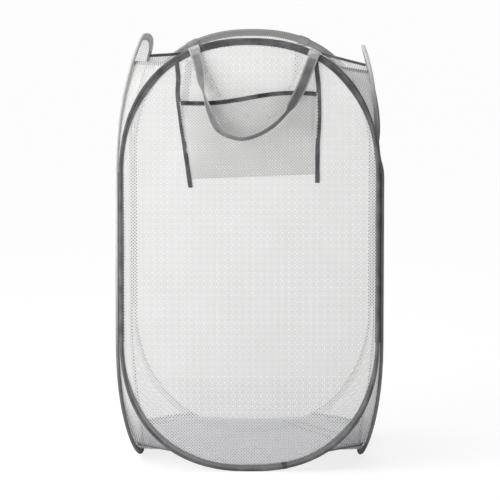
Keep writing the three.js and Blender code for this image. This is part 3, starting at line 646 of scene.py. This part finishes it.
for name, hoop in HOOPS.items():
    rings, widths = bound_rings(hoop)
    binding = swept(f"{name}_bound_tape", trimmed_to_floor(rings), hoop["run"], widths, TAPES[name],
                    closed=True)
    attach(binding, name)
    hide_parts(f"{name}_binding")
    low = hoop["height"] < 0
    middle = np.argmin(np.abs(hoop["across"] - LAP_ACROSS[name]) + 1000 * ~low)
    near = np.abs(hoop["run"][:-1] - hoop["run"][middle]) < LAP_LENGTH / 2
    rings, widths = bound_rings(hoop, near, grow=LAP_GROW)
    lap = swept(f"{name}_tape_lap", trimmed_to_floor(rings), hoop["run"][:-1][near], widths, NARROW_TAPE)
    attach(lap, name)
    rows = []
    for side in (1, -1):
        level = side * (LEG_FACE + BINDING_STITCH_LIFT) + pucker(hoop["run"][:-1])
        line = (hoop["point"] + (hoop["leg"] - BINDING_STITCH_INSET)[:, None] * hoop["inward"]
                + level[:, None] * hoop["out"])
        places, ways = resampled(line, STITCH_PITCH, closed=True)
        at = lengths_along(line, closed=True)
        pick = np.minimum(np.searchsorted(at, np.arange(0, at[-1], STITCH_PITCH)), len(line) - 1)
        rows.append((places, ways, side * hoop["out"][pick[:len(places)]]))
    # The back hoop's stitches take the pale thread, as painted light.
    stitches(f"{name}_binding_stitches", rows, PALE_THREAD if name == "back" else THREAD, name)


# ------------------------ wall nets
NET_INSET = 2.0


def hoop_share(wall, x, y, inset):
    """How far a place of the wall lies towards the hoop, 1 on the hoop's inset line."""
    cap = np.where(y > 0, CAP - wall["top_drop"], CAP) - inset
    rise = np.clip(np.abs(y) - UPRIGHT, 0, None)
    wide = np.abs(x) / (HOOP_HALF_WIDTH - inset)
    return (wide**CAP_POWER + (rise / cap) ** CAP_POWER) ** (1 / CAP_POWER)


def slack(x, y):
    """The slight unevenness of a stretched net."""
    return 0.4 * np.sin(x / 21 + 0.8 * np.sin(y / 57)) * np.sin(y / 33 + 1.1 + 0.6 * np.sin(x / 71))


def wall_net(name):
    wall = WALLS[name]

    def clamp(x, y):
        scale = 1 / np.maximum(hoop_share(wall, x, y, NET_INSET), 1)
        rise = np.clip(np.abs(y) - UPRIGHT, 0, None)
        return x * scale, np.sign(y) * (np.minimum(np.abs(y), UPRIGHT) + rise * scale)

    reach = ((-HOOP_HALF_WIDTH, HOOP_HALF_WIDTH), (-HOOP_HALF_HEIGHT, HOOP_HALF_HEIGHT))
    piece = net(f"{name}_net", reach, lambda x, y: hoop_share(wall, x, y, NET_INSET) < 1, clamp,
                lambda x, y: on_wall(wall, x, y, slack(x, y)),
                NET if name in ("front", "back") else SIDE_NET, grain=45 if name in ("back", "left") else 0)
    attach(piece, name)
    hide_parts(f"{name}_mesh")


for name in WALLS:
    wall_net(name)


# ------------------------ corner webs and hinge strips
WEB_END = {"top": 98.0, "bottom": 85.0}  # from the middle of the wall to the end of the web's free edge
WEB_LAP = 2.6  # how far the web's sewn edge lies over the binding's leg
WEB_DEPTH = 1.75
WEB_HOLE = 0.48  # the webs are cut on the slack way of the net, and their holes are narrower
WEB_TAPE_REACH = 3.8
WEB_TAPE_FACE = 0.95
WEB_TAPE_TRIM = 3.3
WEB_TAPE_LAP, WEB_TAPE_DEPTH = 0.9, 2.0  # where the tape's ends lie on the binding's legs
WEB_ROWS = 61
WEB_TURN = 0.9  # the share of the free edge, from its middle, for two points worked out at each web's end and used no further
WEB_TAPE_HANG = {"top": 0.0, "bottom": 2.4}  # the lower ones hang over the base's hems


def web_edge(wall, side, angle, above, lap, depth):
    inset = leg_length(angle) - lap
    across, height = quarter_place(wall, angle, inset, above)
    return on_wall(wall, side * across, height, -depth)


def tape_section(reach, face, wall):
    """A tape folded flat over an edge, with its fold rounded."""
    fold = arc(face, QUARTER, 3 * QUARTER, 7)
    outside = [(reach, face - 0.1), (reach - 0.2, face), (reach / 2, face), *fold, (reach / 2, -face),
               (reach - 0.2, -face), (reach, 0.1 - face)]
    inner = face - wall
    inside = [(reach, inner), (0.0, inner), (-inner, 0.0), (0.0, -inner), (reach, -inner)]
    return np.array(outside + inside[::-1]), len(outside)


def folded_tape(name, points, inward, out, reach, face, wall, material):
    """A tape folded over a row of points, and its two rows of stitches."""
    section, outside = tape_section(reach, face, wall)
    run = lengths_along(points)
    uneven = pucker(run)
    rings = [p + section[:, 0:1] * a + (section[:, 1:2] + 0.6 * u * smooth_step(section[:, 0:1], 0, reach)) * b
             for p, a, b, u in zip(points, inward, out, uneven)]
    tape = swept(name, rings, run, section_widths(section, outside), material)
    rows = []
    for side in (1, -1):
        line = points + (reach - 1.2) * inward + (side * (face + 0.08) + 0.5 * uneven[:, None]) * out
        places, ways = resampled(line, STITCH_PITCH, STITCH_PITCH / 2)
        pick = np.minimum(np.searchsorted(run, np.linspace(0, run[-1], len(places))), len(points) - 1)
        rows.append((places, ways, side * out[pick]))
    return tape, rows


def corner_web(corner, level):
    left, right, body_left, body_right = CORNERS[corner]
    above = level == "top"
    angles = np.linspace(0, 1, WEB_ROWS) * angle_across(WEB_END[level], LEG_ON_CAP - WEB_TAPE_LAP)
    first = web_edge(WALLS[left], 1, angles, above, WEB_LAP, WEB_DEPTH)
    second = web_edge(WALLS[right], -1, angles, above, WEB_LAP, WEB_DEPTH)
    run = lengths_along((first + second) / 2)
    widths = np.linalg.norm(second - first, axis=1)
    sign = 1 if above else -1
    outward = unit(wall_normal(WALLS[left], 0, 0) + wall_normal(WALLS[right], 0, 0))

    def locate(x, y):
        y = np.clip(sign * y, 0, run[-1])
        a, b = (np.stack([np.interp(y, run, e[:, k]) for k in range(3)], axis=1) for e in (first, second))
        share = np.clip(0.5 + x / np.interp(y, run, widths), 0, 1)[:, None]
        rise = (y / run[-1])[:, None]
        ease = np.sin(math.pi * share) * rise * (1 - rise**6)  # straight where its tape holds it
        crease = 0.9 * np.sin(5 * math.pi * share + 0.4) + 0.5 * np.sin(11 * math.pi * share + y[:, None] / 19)
        return a + (b - a) * share + outward * (ease * crease)

    def clamp(x, y):
        y = sign * np.clip(sign * y, 0, run[-1] - 0.3)
        limit = np.interp(sign * y, run, widths) / 2
        return np.clip(x, -limit, limit), y

    def inside(x, y):
        y = sign * y
        return (y > 0) & (y < run[-1]) & (np.abs(x) < np.interp(y, run, widths) / 2)

    reach = ((-widths.max() / 2, widths.max() / 2), (0, run[-1]) if above else (-run[-1], 0))
    # The top and front webs take the darker net, as painted shade.
    web = net(f"{corner}_{level}_web", reach, inside, clamp, locate,
              SIDE_NET if corner.startswith("back") and not above else WEB_NET_PAINTED_SHADE, hole=WEB_HOLE)
    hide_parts(f"web_{level}_{corner}")

    # The tape over the free edge, straight from hoop to hoop.
    ends_at = lambda angle: [web_edge(WALLS[name], side, angle, above, WEB_TAPE_LAP, WEB_TAPE_DEPTH)
                             for name, side in ((left, 1), (right, -1))]
    edge, before = ends_at(angles[-1]), sum(ends_at(angles[-9])) / 2
    along = unit(edge[1] - edge[0])
    inward = before - (edge[0] + edge[1]) / 2
    inward = unit(inward - along * (inward @ along))
    out = np.cross(along, inward)
    shares = np.linspace(0, 1, 33)[:, None]
    start, end = edge[0] + along * WEB_TAPE_TRIM, edge[1] - along * WEB_TAPE_TRIM
    points = start + (end - start) * shares + (0.8 * np.sin(math.pi * shares) - WEB_TAPE_HANG[level]) * inward
    repeat = lambda v: np.broadcast_to(v, points.shape)
    tape, rows = folded_tape(f"{corner}_{level}_web_tape", points, repeat(inward), repeat(out),
                             WEB_TAPE_REACH + WEB_TAPE_HANG[level] / 2,
                             WEB_TAPE_FACE, 0.5, NARROW_TAPE)
    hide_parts(f"tape_{level}_{corner}")
    threads_piece = stitches(f"{corner}_{level}_web_stitches", rows, THREAD)
    middle = (edge[0] + edge[1]) / 2
    low, high = (middle + WEB_TURN * (e - middle) for e in edge)
    low[2] = high[2] = middle[2]
    for piece in (web, tape, threads_piece):
        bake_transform(piece)


STRIP_DEPTH = 1.9
STRIP_OVERRUN = 6.0  # past each end of the upright
STRIP_BOW = 3.4  # how far it bows out between its hoops
STRIP_HALF_WALL = 0.3
STRIP_ROWS = 47  # odd, so that one is in the middle


def hinge_strip(corner):
    """The strip of tape that joins two hoops down their uprights."""
    left, right, body_left, body_right = CORNERS[corner]
    heights = np.linspace(-UPRIGHT - STRIP_OVERRUN, UPRIGHT + STRIP_OVERRUN, STRIP_ROWS)
    reach = HOOP_HALF_WIDTH - LEG_ON_UPRIGHT - 0.5
    first = on_wall(WALLS[left], reach, heights, -STRIP_DEPTH)
    second = on_wall(WALLS[right], -reach, heights, -STRIP_DEPTH)
    outward = unit(wall_normal(WALLS[left], 0, 0) + wall_normal(WALLS[right], 0, 0))
    shares = np.linspace(0, 1, 13)
    bow = np.sin(math.pi * shares)
    wave = 0.12 * np.sin(heights / 3.1)
    lines = [first + (second - first) * s + outward * (STRIP_BOW * b + wave * b)[:, None]
             for s, b in zip(shares, bow)]
    front = np.stack([line + outward * STRIP_HALF_WALL for line in lines], axis=1)
    back = np.stack([line - outward * STRIP_HALF_WALL for line in lines], axis=1)
    rings = np.concatenate([front, back[:, ::-1]], axis=1)
    run = lengths_along(front[0])
    widths = np.concatenate([run - run[-1] / 2, run[-1] / 2 - run])
    # The back strips take the paler tape, as painted light.
    material = BACK_NARROW_TAPE_PAINTED_LIGHT if corner.startswith("back") else NARROW_TAPE
    strip = swept(f"{corner}_hinge_tape", rings, heights - heights[0], widths, material)
    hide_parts(f"hinge_strip_{corner}")
    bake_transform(strip)


for corner in CORNERS:
    for level in WEB_END:
        corner_web(corner, level)
    hinge_strip(corner)

# ------------------------ base
BASE_HEIGHT = 3.4
BASE_INSET = 5.0
BASE_CORNER_GAP = 2.8
BASE_BACK_RISE = 13.0
BASE_HOLE = 0.34  # a closer net than the walls'
# Soft folds towards the right hoop's foot, each from its start to its end, drawn in the dark hem net as painted shade.
BASE_FOLDS = (((46.0, 147.0), (138.0, 8.0)), ((60.0, 147.0), (141.0, 36.0)))
BASE_FOLD_STEPS = 41
BASE_HEM_REACH, BASE_HEM_FACE, BASE_HEM_WALL, BASE_HEM_LIFT = 7.0, 0.6, 0.35, 0.4
BASE_FOLD_SECTION = ((-4.5, 0.15), (-2.2, 0.9), (0.0, 1.5), (2.2, 0.9), (4.5, 0.15), (0.0, 0.05))


def base_rim():
    """The base's rim, wall by wall, with a straight cut across each corner."""
    last = angle_across(WEB_END["bottom"] - BASE_CORNER_GAP, BASE_INSET)
    shares = np.linspace(-1, 1, 41)
    angles = QUARTER - np.abs(shares) * (QUARTER - last)
    sides = []
    for name, wall in WALLS.items():
        rise = BASE_BACK_RISE * (1 - shares**2) if name == "back" else 0
        across, height = quarter_place(wall, angles, BASE_INSET + rise, False)
        sides.append(on_wall(wall, np.sign(shares) * across, height, -(LEG_FACE + 0.3)))
    return sides


def make_base():
    sides = base_rim()
    points = []
    for k, side in enumerate(sides):
        following = sides[(k + 1) % 4][0]
        cut = side[-1] + (following - side[-1]) * np.linspace(0, 1, 14)[1:-1, None]
        points.extend([side, cut])
    rim = np.concatenate(points)
    turn = np.arctan2(rim[:, 1], rim[:, 0])
    order = np.argsort(turn)
    turn, far, high = turn[order], np.hypot(rim[order, 0], rim[order, 1]), rim[order, 2]

    def share_of(x, y):
        around = np.arctan2(y, x)
        return np.hypot(x, y) / np.interp(around, turn, far, period=2 * math.pi)

    def clamp(x, y):
        scale = 1 / np.maximum(share_of(x, y), 1)
        return x * scale, y * scale

    def locate(x, y):
        share = np.clip(share_of(x, y), 0, 1)
        height = np.interp(np.arctan2(y, x), turn, high, period=2 * math.pi)
        rise = BASE_HEIGHT + (height - BASE_HEIGHT) * share**2
        crease = 0.35 * np.sin(x / 17 + y / 29) * np.sin(y / 13 - x / 41) * np.sin(math.pi * share)
        return np.stack([x, y, rise + crease], axis=1)

    reach = ((rim[:, 0].min(), rim[:, 0].max()), (rim[:, 1].min(), rim[:, 1].max()))
    base = net("base_net", reach, lambda x, y: share_of(x, y) < 1, clamp, locate, BASE_NET_PAINTED_SHADE, grain=22, hole=BASE_HOLE)
    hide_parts("base_mesh")
    pieces, rows = [base], []
    for k, corner in enumerate(CORNERS):
        start, end = sides[k][-1], sides[(k + 1) % 4][0]
        along = unit(end - start)
        inward = -(start + end) / 2
        inward[2] = BASE_HEIGHT - (start[2] + end[2]) / 2
        inward = unit(inward - along * (inward @ along))
        line = start + (end - start) * np.linspace(0.03, 0.97, 25)[:, None] + (0, 0, BASE_HEM_LIFT)
        up = np.cross(inward, along)
        up = up * np.sign(up[2])
        repeat = lambda v: np.broadcast_to(v, line.shape)
        hem, hem_rows = folded_tape(f"{corner}_base_hem", line, repeat(inward), repeat(up), BASE_HEM_REACH,
                                    BASE_HEM_FACE, BASE_HEM_WALL, HEM_AND_FOLD_SHADE_NET)
        pieces.append(hem)
        rows.extend(hem_rows)
    pieces.append(stitches("base_hem_stitches", rows, PALE_THREAD))
    for k, (start, end) in enumerate(BASE_FOLDS):
        shares = np.linspace(0, 1, BASE_FOLD_STEPS)[:, None]
        line = np.array(start) + (np.array(end) - start) * shares
        line = locate(line[:, 0], line[:, 1])
        side = np.cross((0, 0, 1), unit(np.gradient(line, axis=0)))
        swell = np.sin(math.pi * shares)
        rings = np.stack([line + side * across * (0.5 + 0.5 * swell) + (0, 0, high)
                          for across, high in BASE_FOLD_SECTION], axis=1)
        widths = [across for across, _ in BASE_FOLD_SECTION]
        # The folds take the dark hem net as painted shade.
        pieces.append(swept(f"base_fold_{k}", rings, lengths_along(line), widths, HEM_AND_FOLD_SHADE_NET))
    # Only two of the four walls could carry the base, as folded it comes away from the right and back ones; here its
    # pieces are baked in place and carried by no wall.
    for piece in pieces:
        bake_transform(piece)


make_base()

# ------------------------ pocket
FRONT = WALLS["front"]
POCKET_MOUTH, POCKET_MOUTH_RISE, POCKET_WAVE = 210.5, 12.0, 3.3
POCKET_DEPTH, POCKET_FOOT_RISE, POCKET_TAIL = 104.0, 6.5, 11.0
POCKET_BULGE, POCKET_EDGE_STAND = 11.0, 1.2
POCKET_LEFT, POCKET_RIGHT = 94.0, 91.0
POCKET_TAPE_WIDTH, POCKET_SEAT = 6.0, 0.7
POCKET_NET_INSET = 1.0  # from the middle of each side tape, so that the net runs in under it
POCKET_TAPE_STEPS = 61
POCKET_LEFT_SHARES = ((0.84, 0.45), (0.925, 0.72), (0.985, 0.9), (1.03, 1.06), (1.012, 1.14), (1.04, 1.25))
POCKET_RIGHT_SHARES = ((1, 0.48), (1, 0.72), (1.025, 0.9), (1.015, 1.1), (0.98, 1.23))


def tape_across(shares, distance, height):
    """Where a side tape lies across the wall, with its bends eased."""
    x, y = np.array(shares).T
    x, y = x * distance, y * POCKET_MOUTH
    x = np.concatenate([[x[0] - (x[1] - x[0]) / (y[1] - y[0]) * 60], x])
    y = np.concatenate([[y[0] - 60], y])
    offsets = np.linspace(-7, 7, 9)
    return np.mean([np.interp(np.asarray(height, float) + o, y, x) for o in offsets], axis=0)


def left_tape(height):
    return -tape_across(POCKET_LEFT_SHARES, POCKET_LEFT, height)


def right_tape(height):
    return tape_across(POCKET_RIGHT_SHARES, POCKET_RIGHT, height)


def foot_height(across):
    return POCKET_MOUTH - POCKET_DEPTH + POCKET_FOOT_RISE * across


def pocket_point(across, up, lift=0.0):
    across, up = np.clip(across, 0, 1), np.asarray(up, float)
    mouth = POCKET_MOUTH + POCKET_MOUTH_RISE * across - POCKET_WAVE * np.sin(4 * QUARTER * across)
    height = foot_height(across) + (mouth - foot_height(across)) * up
    low, high = left_tape(height) + POCKET_NET_INSET, right_tape(height) - POCKET_NET_INSET
    x = low + (high - low) * across
    inner = np.clip((across * 1.06 - 0.03), 0, 1)
    bulge = POCKET_BULGE * np.sqrt(np.sin(2 * QUARTER * inner)) * np.sin(QUARTER * np.clip(up, 0, 1))
    inside = np.sin(2 * QUARTER * across) * np.sin(2 * QUARTER * np.clip(up, 0, 1))
    crease = 0.5 * np.sin(9 * across + 2.2 * up) * inside
    return on_wall(FRONT, x, height, POCKET_SEAT + 0.3 + POCKET_EDGE_STAND * up + bulge + crease + lift)


def make_pocket():
    width, depth = POCKET_LEFT + POCKET_RIGHT - 4, POCKET_DEPTH + 3
    clamp = lambda x, y: (np.clip(x, 0, width), np.clip(y, 0, depth))
    pocket = net("pocket_net", ((0, width), (0, depth)), lambda x, y: (x > 0) & (x < width) & (y > 0) & (y < depth),
                 clamp, lambda x, y: pocket_point(x / width, y / depth), POCKET_NET)
    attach(pocket, "front")
    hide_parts("pocket_mesh")
    rows = []
    for side, tape_at, across in (("left", left_tape, 0.0), ("right", right_tape, 1.0)):
        bottom = float(foot_height(across)) - POCKET_TAIL
        inset = LEG_ON_CAP - 2.5  # its top is caught under the end of the binding's leg
        edge = abs(float(tape_at(250))) + POCKET_TAPE_WIDTH / 2
        top = float(quarter_place(FRONT, angle_across(edge, inset), inset, True)[1])
        heights = np.linspace(bottom, top, POCKET_TAPE_STEPS)
        x = tape_at(heights)
        half = POCKET_TAPE_WIDTH / 2 + 0.12 * np.sin(heights / 5.3)
        lift = 0.1 * np.sin(heights / 3.4) + 0.05 * np.sin(heights / 8.1)
        section = ((-1, 0.15), (-0.94, 0.0), (0, 0.0), (0.94, 0.0), (1, 0.15), (1, 0.6), (0.93, 0.8), (0.5, 0.86),
                   (0, 0.9), (-0.5, 0.86), (-0.93, 0.8), (-1, 0.6))
        rings = np.stack([on_wall(FRONT, x + s * half, heights, POCKET_SEAT + h + lift * (h > 0.5))
                          for s, h in section], axis=1)
        widths = [s * POCKET_TAPE_WIDTH / 2 for s, _ in section]
        tape = swept(f"pocket_{side}_edge_tape", rings, heights - bottom, widths, NARROW_TAPE)
        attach(tape, "front")
        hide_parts(f"pocket_{side}_tape")
        for s in (-0.62, 0.62):
            line = on_wall(FRONT, x + s * half, heights, POCKET_SEAT + 0.93 + lift)
            places, ways = resampled(line, STITCH_PITCH, STITCH_PITCH / 2)
            normal = wall_normal(FRONT, 0, np.linspace(bottom, top, len(places)))
            rows.append((places, ways, normal))
    # The mouth's tape, folded over the pocket's upper edge.
    shares = np.linspace(0.012, 0.988, POCKET_TAPE_STEPS)
    points = pocket_point(shares, 1.0)
    inward = unit(pocket_point(shares, 0.9) - points)
    out = unit(np.cross(inward, unit(np.gradient(points, axis=0))))
    out *= np.sign(-out[:, 1:2])
    tape, mouth_rows = folded_tape("pocket_mouth_tape", points, inward, out, 5.0, 0.85, 0.45, MOUTH_TAPE)
    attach(tape, "front")
    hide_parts("pocket_top_tape")
    stitches("pocket_tape_stitches", rows + mouth_rows, THREAD, "front")
    foot = pocket_point(np.linspace(0.02, 0.98, 60), 0.02)
    places, ways = resampled(foot, STITCH_PITCH, STITCH_PITCH / 2)
    outs = np.broadcast_to(wall_normal(FRONT, 0, 0), places.shape)
    stitches("pocket_foot_stitches", [(places + outs * 0.15, ways, outs)], PALE_THREAD, "front")


make_pocket()

# ------------------------ straps
STRAP_WIDTH, STRAP_THICKNESS = 14.0, 1.2
HANDLE_LEFT, HANDLE_RIGHT, HANDLE_DROP = 74.5, 87.0, 115.5
HANDLE_STAND_OFF, HANDLE_OUT, HANDLE_INSET = 22.0, 4.6, 1.5
HANDLE_STITCH_ROWS, HANDLE_STITCH_REACH = (2.4, 5.0), 5.4  # from the strap's end, and to each side of its middle
# Across from the left end to the right end, drop, stand-off, quarter turns of twist, all as shares.
HANDLE_SHARES = np.array((
    (0, 0, 0, 0), (0.027, 0.115, 0.1, 0.05), (0.05, 0.245, 0.3, 0.15), (0.065, 0.375, 0.55, 0.4),
    (0.087, 0.505, 0.75, 0.85), (0.132, 0.7, 0.95, 0.6), (0.19, 0.875, 1, 0.6), (0.252, 0.95, 1, 0.7),
    (0.4, 1, 1, 0.75), (0.55, 0.935, 1, 0.75), (0.667, 0.83, 1, 0.75), (0.772, 0.68, 0.95, 0.75),
    (0.81, 0.6, 0.85, 0.4), (0.889, 0.4, 0.6, 0.1), (0.945, 0.2, 0.3, 0), (1, 0, 0, 0),
))


def smooth_curve(points, shares):
    """Places on a smooth curve through points, whose bends follow the distances between them."""
    points = np.asarray(points, float)
    ends = [2 * points[0] - points[1], *points, 2 * points[-1] - points[-2]]
    result = []
    for share in np.clip(shares, 0, 1):
        place = share * (len(points) - 1)
        k = min(int(place), len(points) - 2)
        t = place - k
        p0, p1, p2, p3 = ends[k:k + 4]
        d0, d1, d2 = (max(np.sum((b - a) ** 2) ** 0.25, 1e-4) for a, b in ((p0, p1), (p1, p2), (p2, p3)))
        m1 = d1 * ((p1 - p0) / d0 - (p2 - p0) / (d0 + d1) + (p2 - p1) / d1)
        m2 = d1 * ((p2 - p1) / d1 - (p3 - p1) / (d1 + d2) + (p3 - p2) / d2)
        result.append(p1 + m1 * t + (3 * (p2 - p1) - 2 * m1 - m2) * t**2 + (2 * (p1 - p2) + m1 + m2) * t**3)
    return np.array(result)


def strap_section(width, thickness):
    """Webbing cut across: a flat band, a little thicker in its middle, with rounded selvages."""
    half, t = width / 2, thickness / 2
    upper = [(x * half, t * (1 - 0.12 * x * x)) for x in (-0.9, -0.6, -0.3, 0, 0.3, 0.6, 0.9)]
    edge = [(half * 0.97, t * 0.62), (half, 0), (half * 0.97, -t * 0.62)]
    lower = [(x, -y) for x, y in upper[::-1]]
    return np.array([*upper, *edge, *lower, *[(-x, -y) for x, y in edge]])


def make_handle(name):
    wall = WALLS[name]
    (left_x, left_y), (right_x, right_y) = (
        quarter_place(wall, angle_across(d, HANDLE_INSET), HANDLE_INSET, True) for d in (HANDLE_LEFT, HANDLE_RIGHT))
    across, drop, stand, twist = HANDLE_SHARES.T
    route = on_wall(wall, -left_x + (right_x + left_x) * across,
                    left_y + (right_y - left_y) * across - drop * HANDLE_DROP,
                    HANDLE_OUT + (HANDLE_STAND_OFF - HANDLE_OUT) * stand)
    shares = np.linspace(0, 1, 121)
    points = smooth_curve(route, shares)
    along = unit(smooth_curve(route, shares + 1e-4) - smooth_curve(route, shares - 1e-4))
    turns = smooth_curve(np.stack([across, twist, twist * 0], axis=1), shares)[:, 1] * QUARTER
    out = wall_normal(wall, 0, 0)
    sideways = turned(wall["quarters"], (1.0, 0, 0))
    level = unit(np.cross(out, along))
    at_end = np.clip(1 - np.minimum(shares, 1 - shares) * 30, 0, 1)[:, None]
    level = unit(level * (1 - at_end) + at_end * sideways * np.sign(level @ sideways)[:, None])
    wide = level * np.cos(turns)[:, None] + out * np.sin(turns)[:, None]
    thick = unit(np.cross(wide, along))
    section = strap_section(STRAP_WIDTH, STRAP_THICKNESS)
    rings = points[:, None, :] + section[None, :, 0:1] * wide[:, None, :] + section[None, :, 1:2] * thick[:, None, :]
    run = lengths_along(points)
    run = np.minimum(run, run[-1] - run)  # both ends alike, so that each fades where it is folded
    strap = swept(f"{name}_carrying_strap", rings, run, section[:, 0], STRAP)
    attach(strap, f"{name}_handle")
    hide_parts(f"{name}_handle_strap")
    rows = []
    for side, sign, distance in (("left", -1, HANDLE_LEFT), ("right", 1, HANDLE_RIGHT)):
        make_tab(name, side, sign, distance)
        k = 0 if side == "left" else -1
        for step in HANDLE_STITCH_ROWS:
            centre = points[k] + (along[k] if k == 0 else -along[k]) * step
            face = thick[k] * np.sign(thick[k] @ out)
            reach = wide[k] * HANDLE_STITCH_REACH
            rows.append(straight_row(centre - reach, centre + reach, face, STRAP_THICKNESS / 2 + 0.06))
    stitches(f"{name}_strap_stitches", rows, THREAD, f"{name}_handle")


TAB_REACH, TAB_WALL, TAB_BORE, TAB_LEG = 6.5, 0.7, 2.95, 1.6


def make_tab(name, side, sign, distance):
    """The strap's end, wrapped over the binding."""
    wall = WALLS[name]
    bore, skin = (arc(radius, QUARTER / 2, 7 * QUARTER / 2, 19) for radius in (TAB_BORE, TAB_BORE + TAB_WALL))
    leg = TAB_LEG + TAB_WALL
    outside = [(TAB_REACH, leg - 0.15), (TAB_REACH - 0.3, leg), *skin, (TAB_REACH - 0.3, -leg), (TAB_REACH, 0.15 - leg)]
    inside = [(TAB_REACH, TAB_LEG), *bore, (TAB_REACH, -TAB_LEG)]
    section = np.array(outside + inside[::-1])
    widths = section_widths(section, len(outside))
    offsets = np.linspace(-0.5, 0.5, 9) * STRAP_WIDTH

    def place(offset):
        x, y = quarter_place(wall, angle_across(distance + offset), 0, True)
        return on_wall(wall, sign * x, y), float(y)

    rings = []
    for offset in offsets:
        point, height = place(offset)
        along = place(offset + 1)[0] - place(offset - 1)[0]
        out = wall_normal(wall, 0, height)
        inward = np.cross(out, unit(along))
        inward *= -np.sign(inward[2])
        rings.append(point + section[:, 0:1] * inward + section[:, 1:2] * out)
    material = BACK_STRAP_PAINTED_LIGHT if name == "back" else PALE_STRAP
    tab = swept(f"{name}_strap_wrap_{side}", rings, offsets, widths, material)
    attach(tab, name)
    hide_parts(f"{name}_handle_tab_{side}")


for name in ("front", "back"):
    make_handle(name)

KEEPER_WIDTH, KEEPER_LENGTH, KEEPER_LEFT, KEEPER_SLANT, KEEPER_DEPTH, KEEPER_GAP = 10.0, 78.0, 80.5, 9.0, 1.7, 0.9
HOOK_PATCH_WIDTH, HOOK_PATCH_WALL, HOOK_PATCH_STAND = KEEPER_WIDTH - 1.6, 1.0, 1.15
HOOK_PATCH_ROWS = slice(26, 40)  # of the keeper's 41, near its free end


def make_keeper():
    """The short strap inside the front wall, with a patch of hooks at its end that holds the folded hamper."""
    inset = LEG_ON_CAP + KEEPER_GAP
    tops = [quarter_place(FRONT, angle_across(KEEPER_LEFT + s * KEEPER_WIDTH / 2, inset), inset, True)[1]
            for s in (-1, 1)]
    start = float(min(tops))
    shares = np.linspace(0, 1, 41)
    heights = start - shares * KEEPER_LENGTH
    middle = -KEEPER_LEFT - shares * KEEPER_SLANT

    def band(width, thickness, depth, keep):
        section = strap_section(width, thickness)
        return np.stack([on_wall(FRONT, middle[keep] + x, heights[keep], -(depth + 0.5 * shares[keep]) - y)
                         for x, y in section], axis=1), section

    rings, section = band(KEEPER_WIDTH, STRAP_THICKNESS, KEEPER_DEPTH, slice(None))
    keeper = swept("keeper_band", rings, shares * KEEPER_LENGTH, section[:, 0], PALE_STRAP)
    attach(keeper, "keeper")
    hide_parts("keeper_strap")
    rings, section = band(HOOK_PATCH_WIDTH, HOOK_PATCH_WALL, KEEPER_DEPTH + HOOK_PATCH_STAND, HOOK_PATCH_ROWS)
    patch = swept("keeper_hook_patch", rings, shares[HOOK_PATCH_ROWS] * KEEPER_LENGTH, section[:, 0], NARROW_TAPE)
    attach(patch, "keeper")


make_keeper()

# ------------------------ floor and light
FLOOR_SIZE = 120.0  # metres, so that it fills the view to its edge
FLOOR_GLOW_SHARE = 0.7  # how much of the floor, as the camera sees it, is a plain white glow

floor_material, tree, shader = new_material("studio_floor", 0.9)
grain = ramp(tree, cloud(tree, 300, 2.0), (0.3, 0.985), (0.7, 1.0))
finished(tree, shader, mixed(tree, 1.0, hex_colour("#fbfbfb"), grain, "MULTIPLY"))
glow = add_node(tree, "ShaderNodeEmission", {"Color": hex_colour("#ffffff"), "Strength": 1.09})
seen = add_node(tree, "ShaderNodeLightPath").outputs[0]
share = computed(tree, "MULTIPLY", seen, FLOOR_GLOW_SHARE)
blend = add_node(tree, "ShaderNodeMixShader", {0: share, 1: shader.outputs[0], 2: glow.outputs[0]})
show(tree, blend.outputs[0])
bpy.ops.mesh.primitive_plane_add(size=FLOOR_SIZE, location=(0, 0, -0.0002))
floor = bpy.context.object
floor.name = "studio_floor"
floor.data.materials.append(floor_material)

world = bpy.data.worlds.new("studio")
bpy.context.scene.world = world
world.use_nodes = True
tree = world.node_tree
tree.nodes.clear()
side = split(tree, add_node(tree, "ShaderNodeTexCoord").outputs[0])[0]
fall = ranged(tree, side, -0.9, 0.9, 0.59, 0.36)  # the studio is brighter on the left
soft = add_node(tree, "ShaderNodeBackground", {0: hex_colour("#f6f7fa"), 1: fall})
white = add_node(tree, "ShaderNodeBackground", {0: hex_colour("#ffffff"), 1: 1.0})
paths = add_node(tree, "ShaderNodeLightPath").outputs
seen = computed(tree, "MAXIMUM", paths["Is Camera Ray"], paths["Is Glossy Ray"])
seen = computed(tree, "MAXIMUM", seen, paths["Is Transmission Ray"])
both = add_node(tree, "ShaderNodeMixShader", {0: seen, 1: soft.outputs[0], 2: white.outputs[0]})
add_node(tree, "ShaderNodeOutputWorld", {0: both.outputs[0]})


def lamp(name, kind, place, strength, **settings):
    """A lamp that points at the middle of the hamper."""
    data = bpy.data.lights.new(name, kind)
    data.energy = strength
    for key, value in settings.items():
        setattr(data, key, value)
    made = bpy.data.objects.new(name, data)
    made.location = place
    made.rotation_euler = (Vector((0, 0, 0.3)) - Vector(place)).to_track_quat("-Z", "Y").to_euler()
    bpy.context.scene.collection.objects.link(made)


lamp("key_softbox", "AREA", (-1.15, -0.98, 0.85), 24, size=1.4)
lamp("overhead", "SUN", (-0.5, 0.35, 2.0), 0.9, angle=math.radians(50))

scene = bpy.context.scene
scene.view_settings.view_transform = "Standard"

# Soft pieces keep their rounded look, and their cut ends stay crisp.
bpy.ops.object.select_all(action="DESELECT")
for piece in PIECES:
    if not piece.name.endswith(("net", "stitches")):
        piece.select_set(True)
        bpy.context.view_layer.objects.active = piece
bpy.ops.object.shade_smooth_by_angle(angle=math.radians(40))
bpy.ops.object.select_all(action="DESELECT")
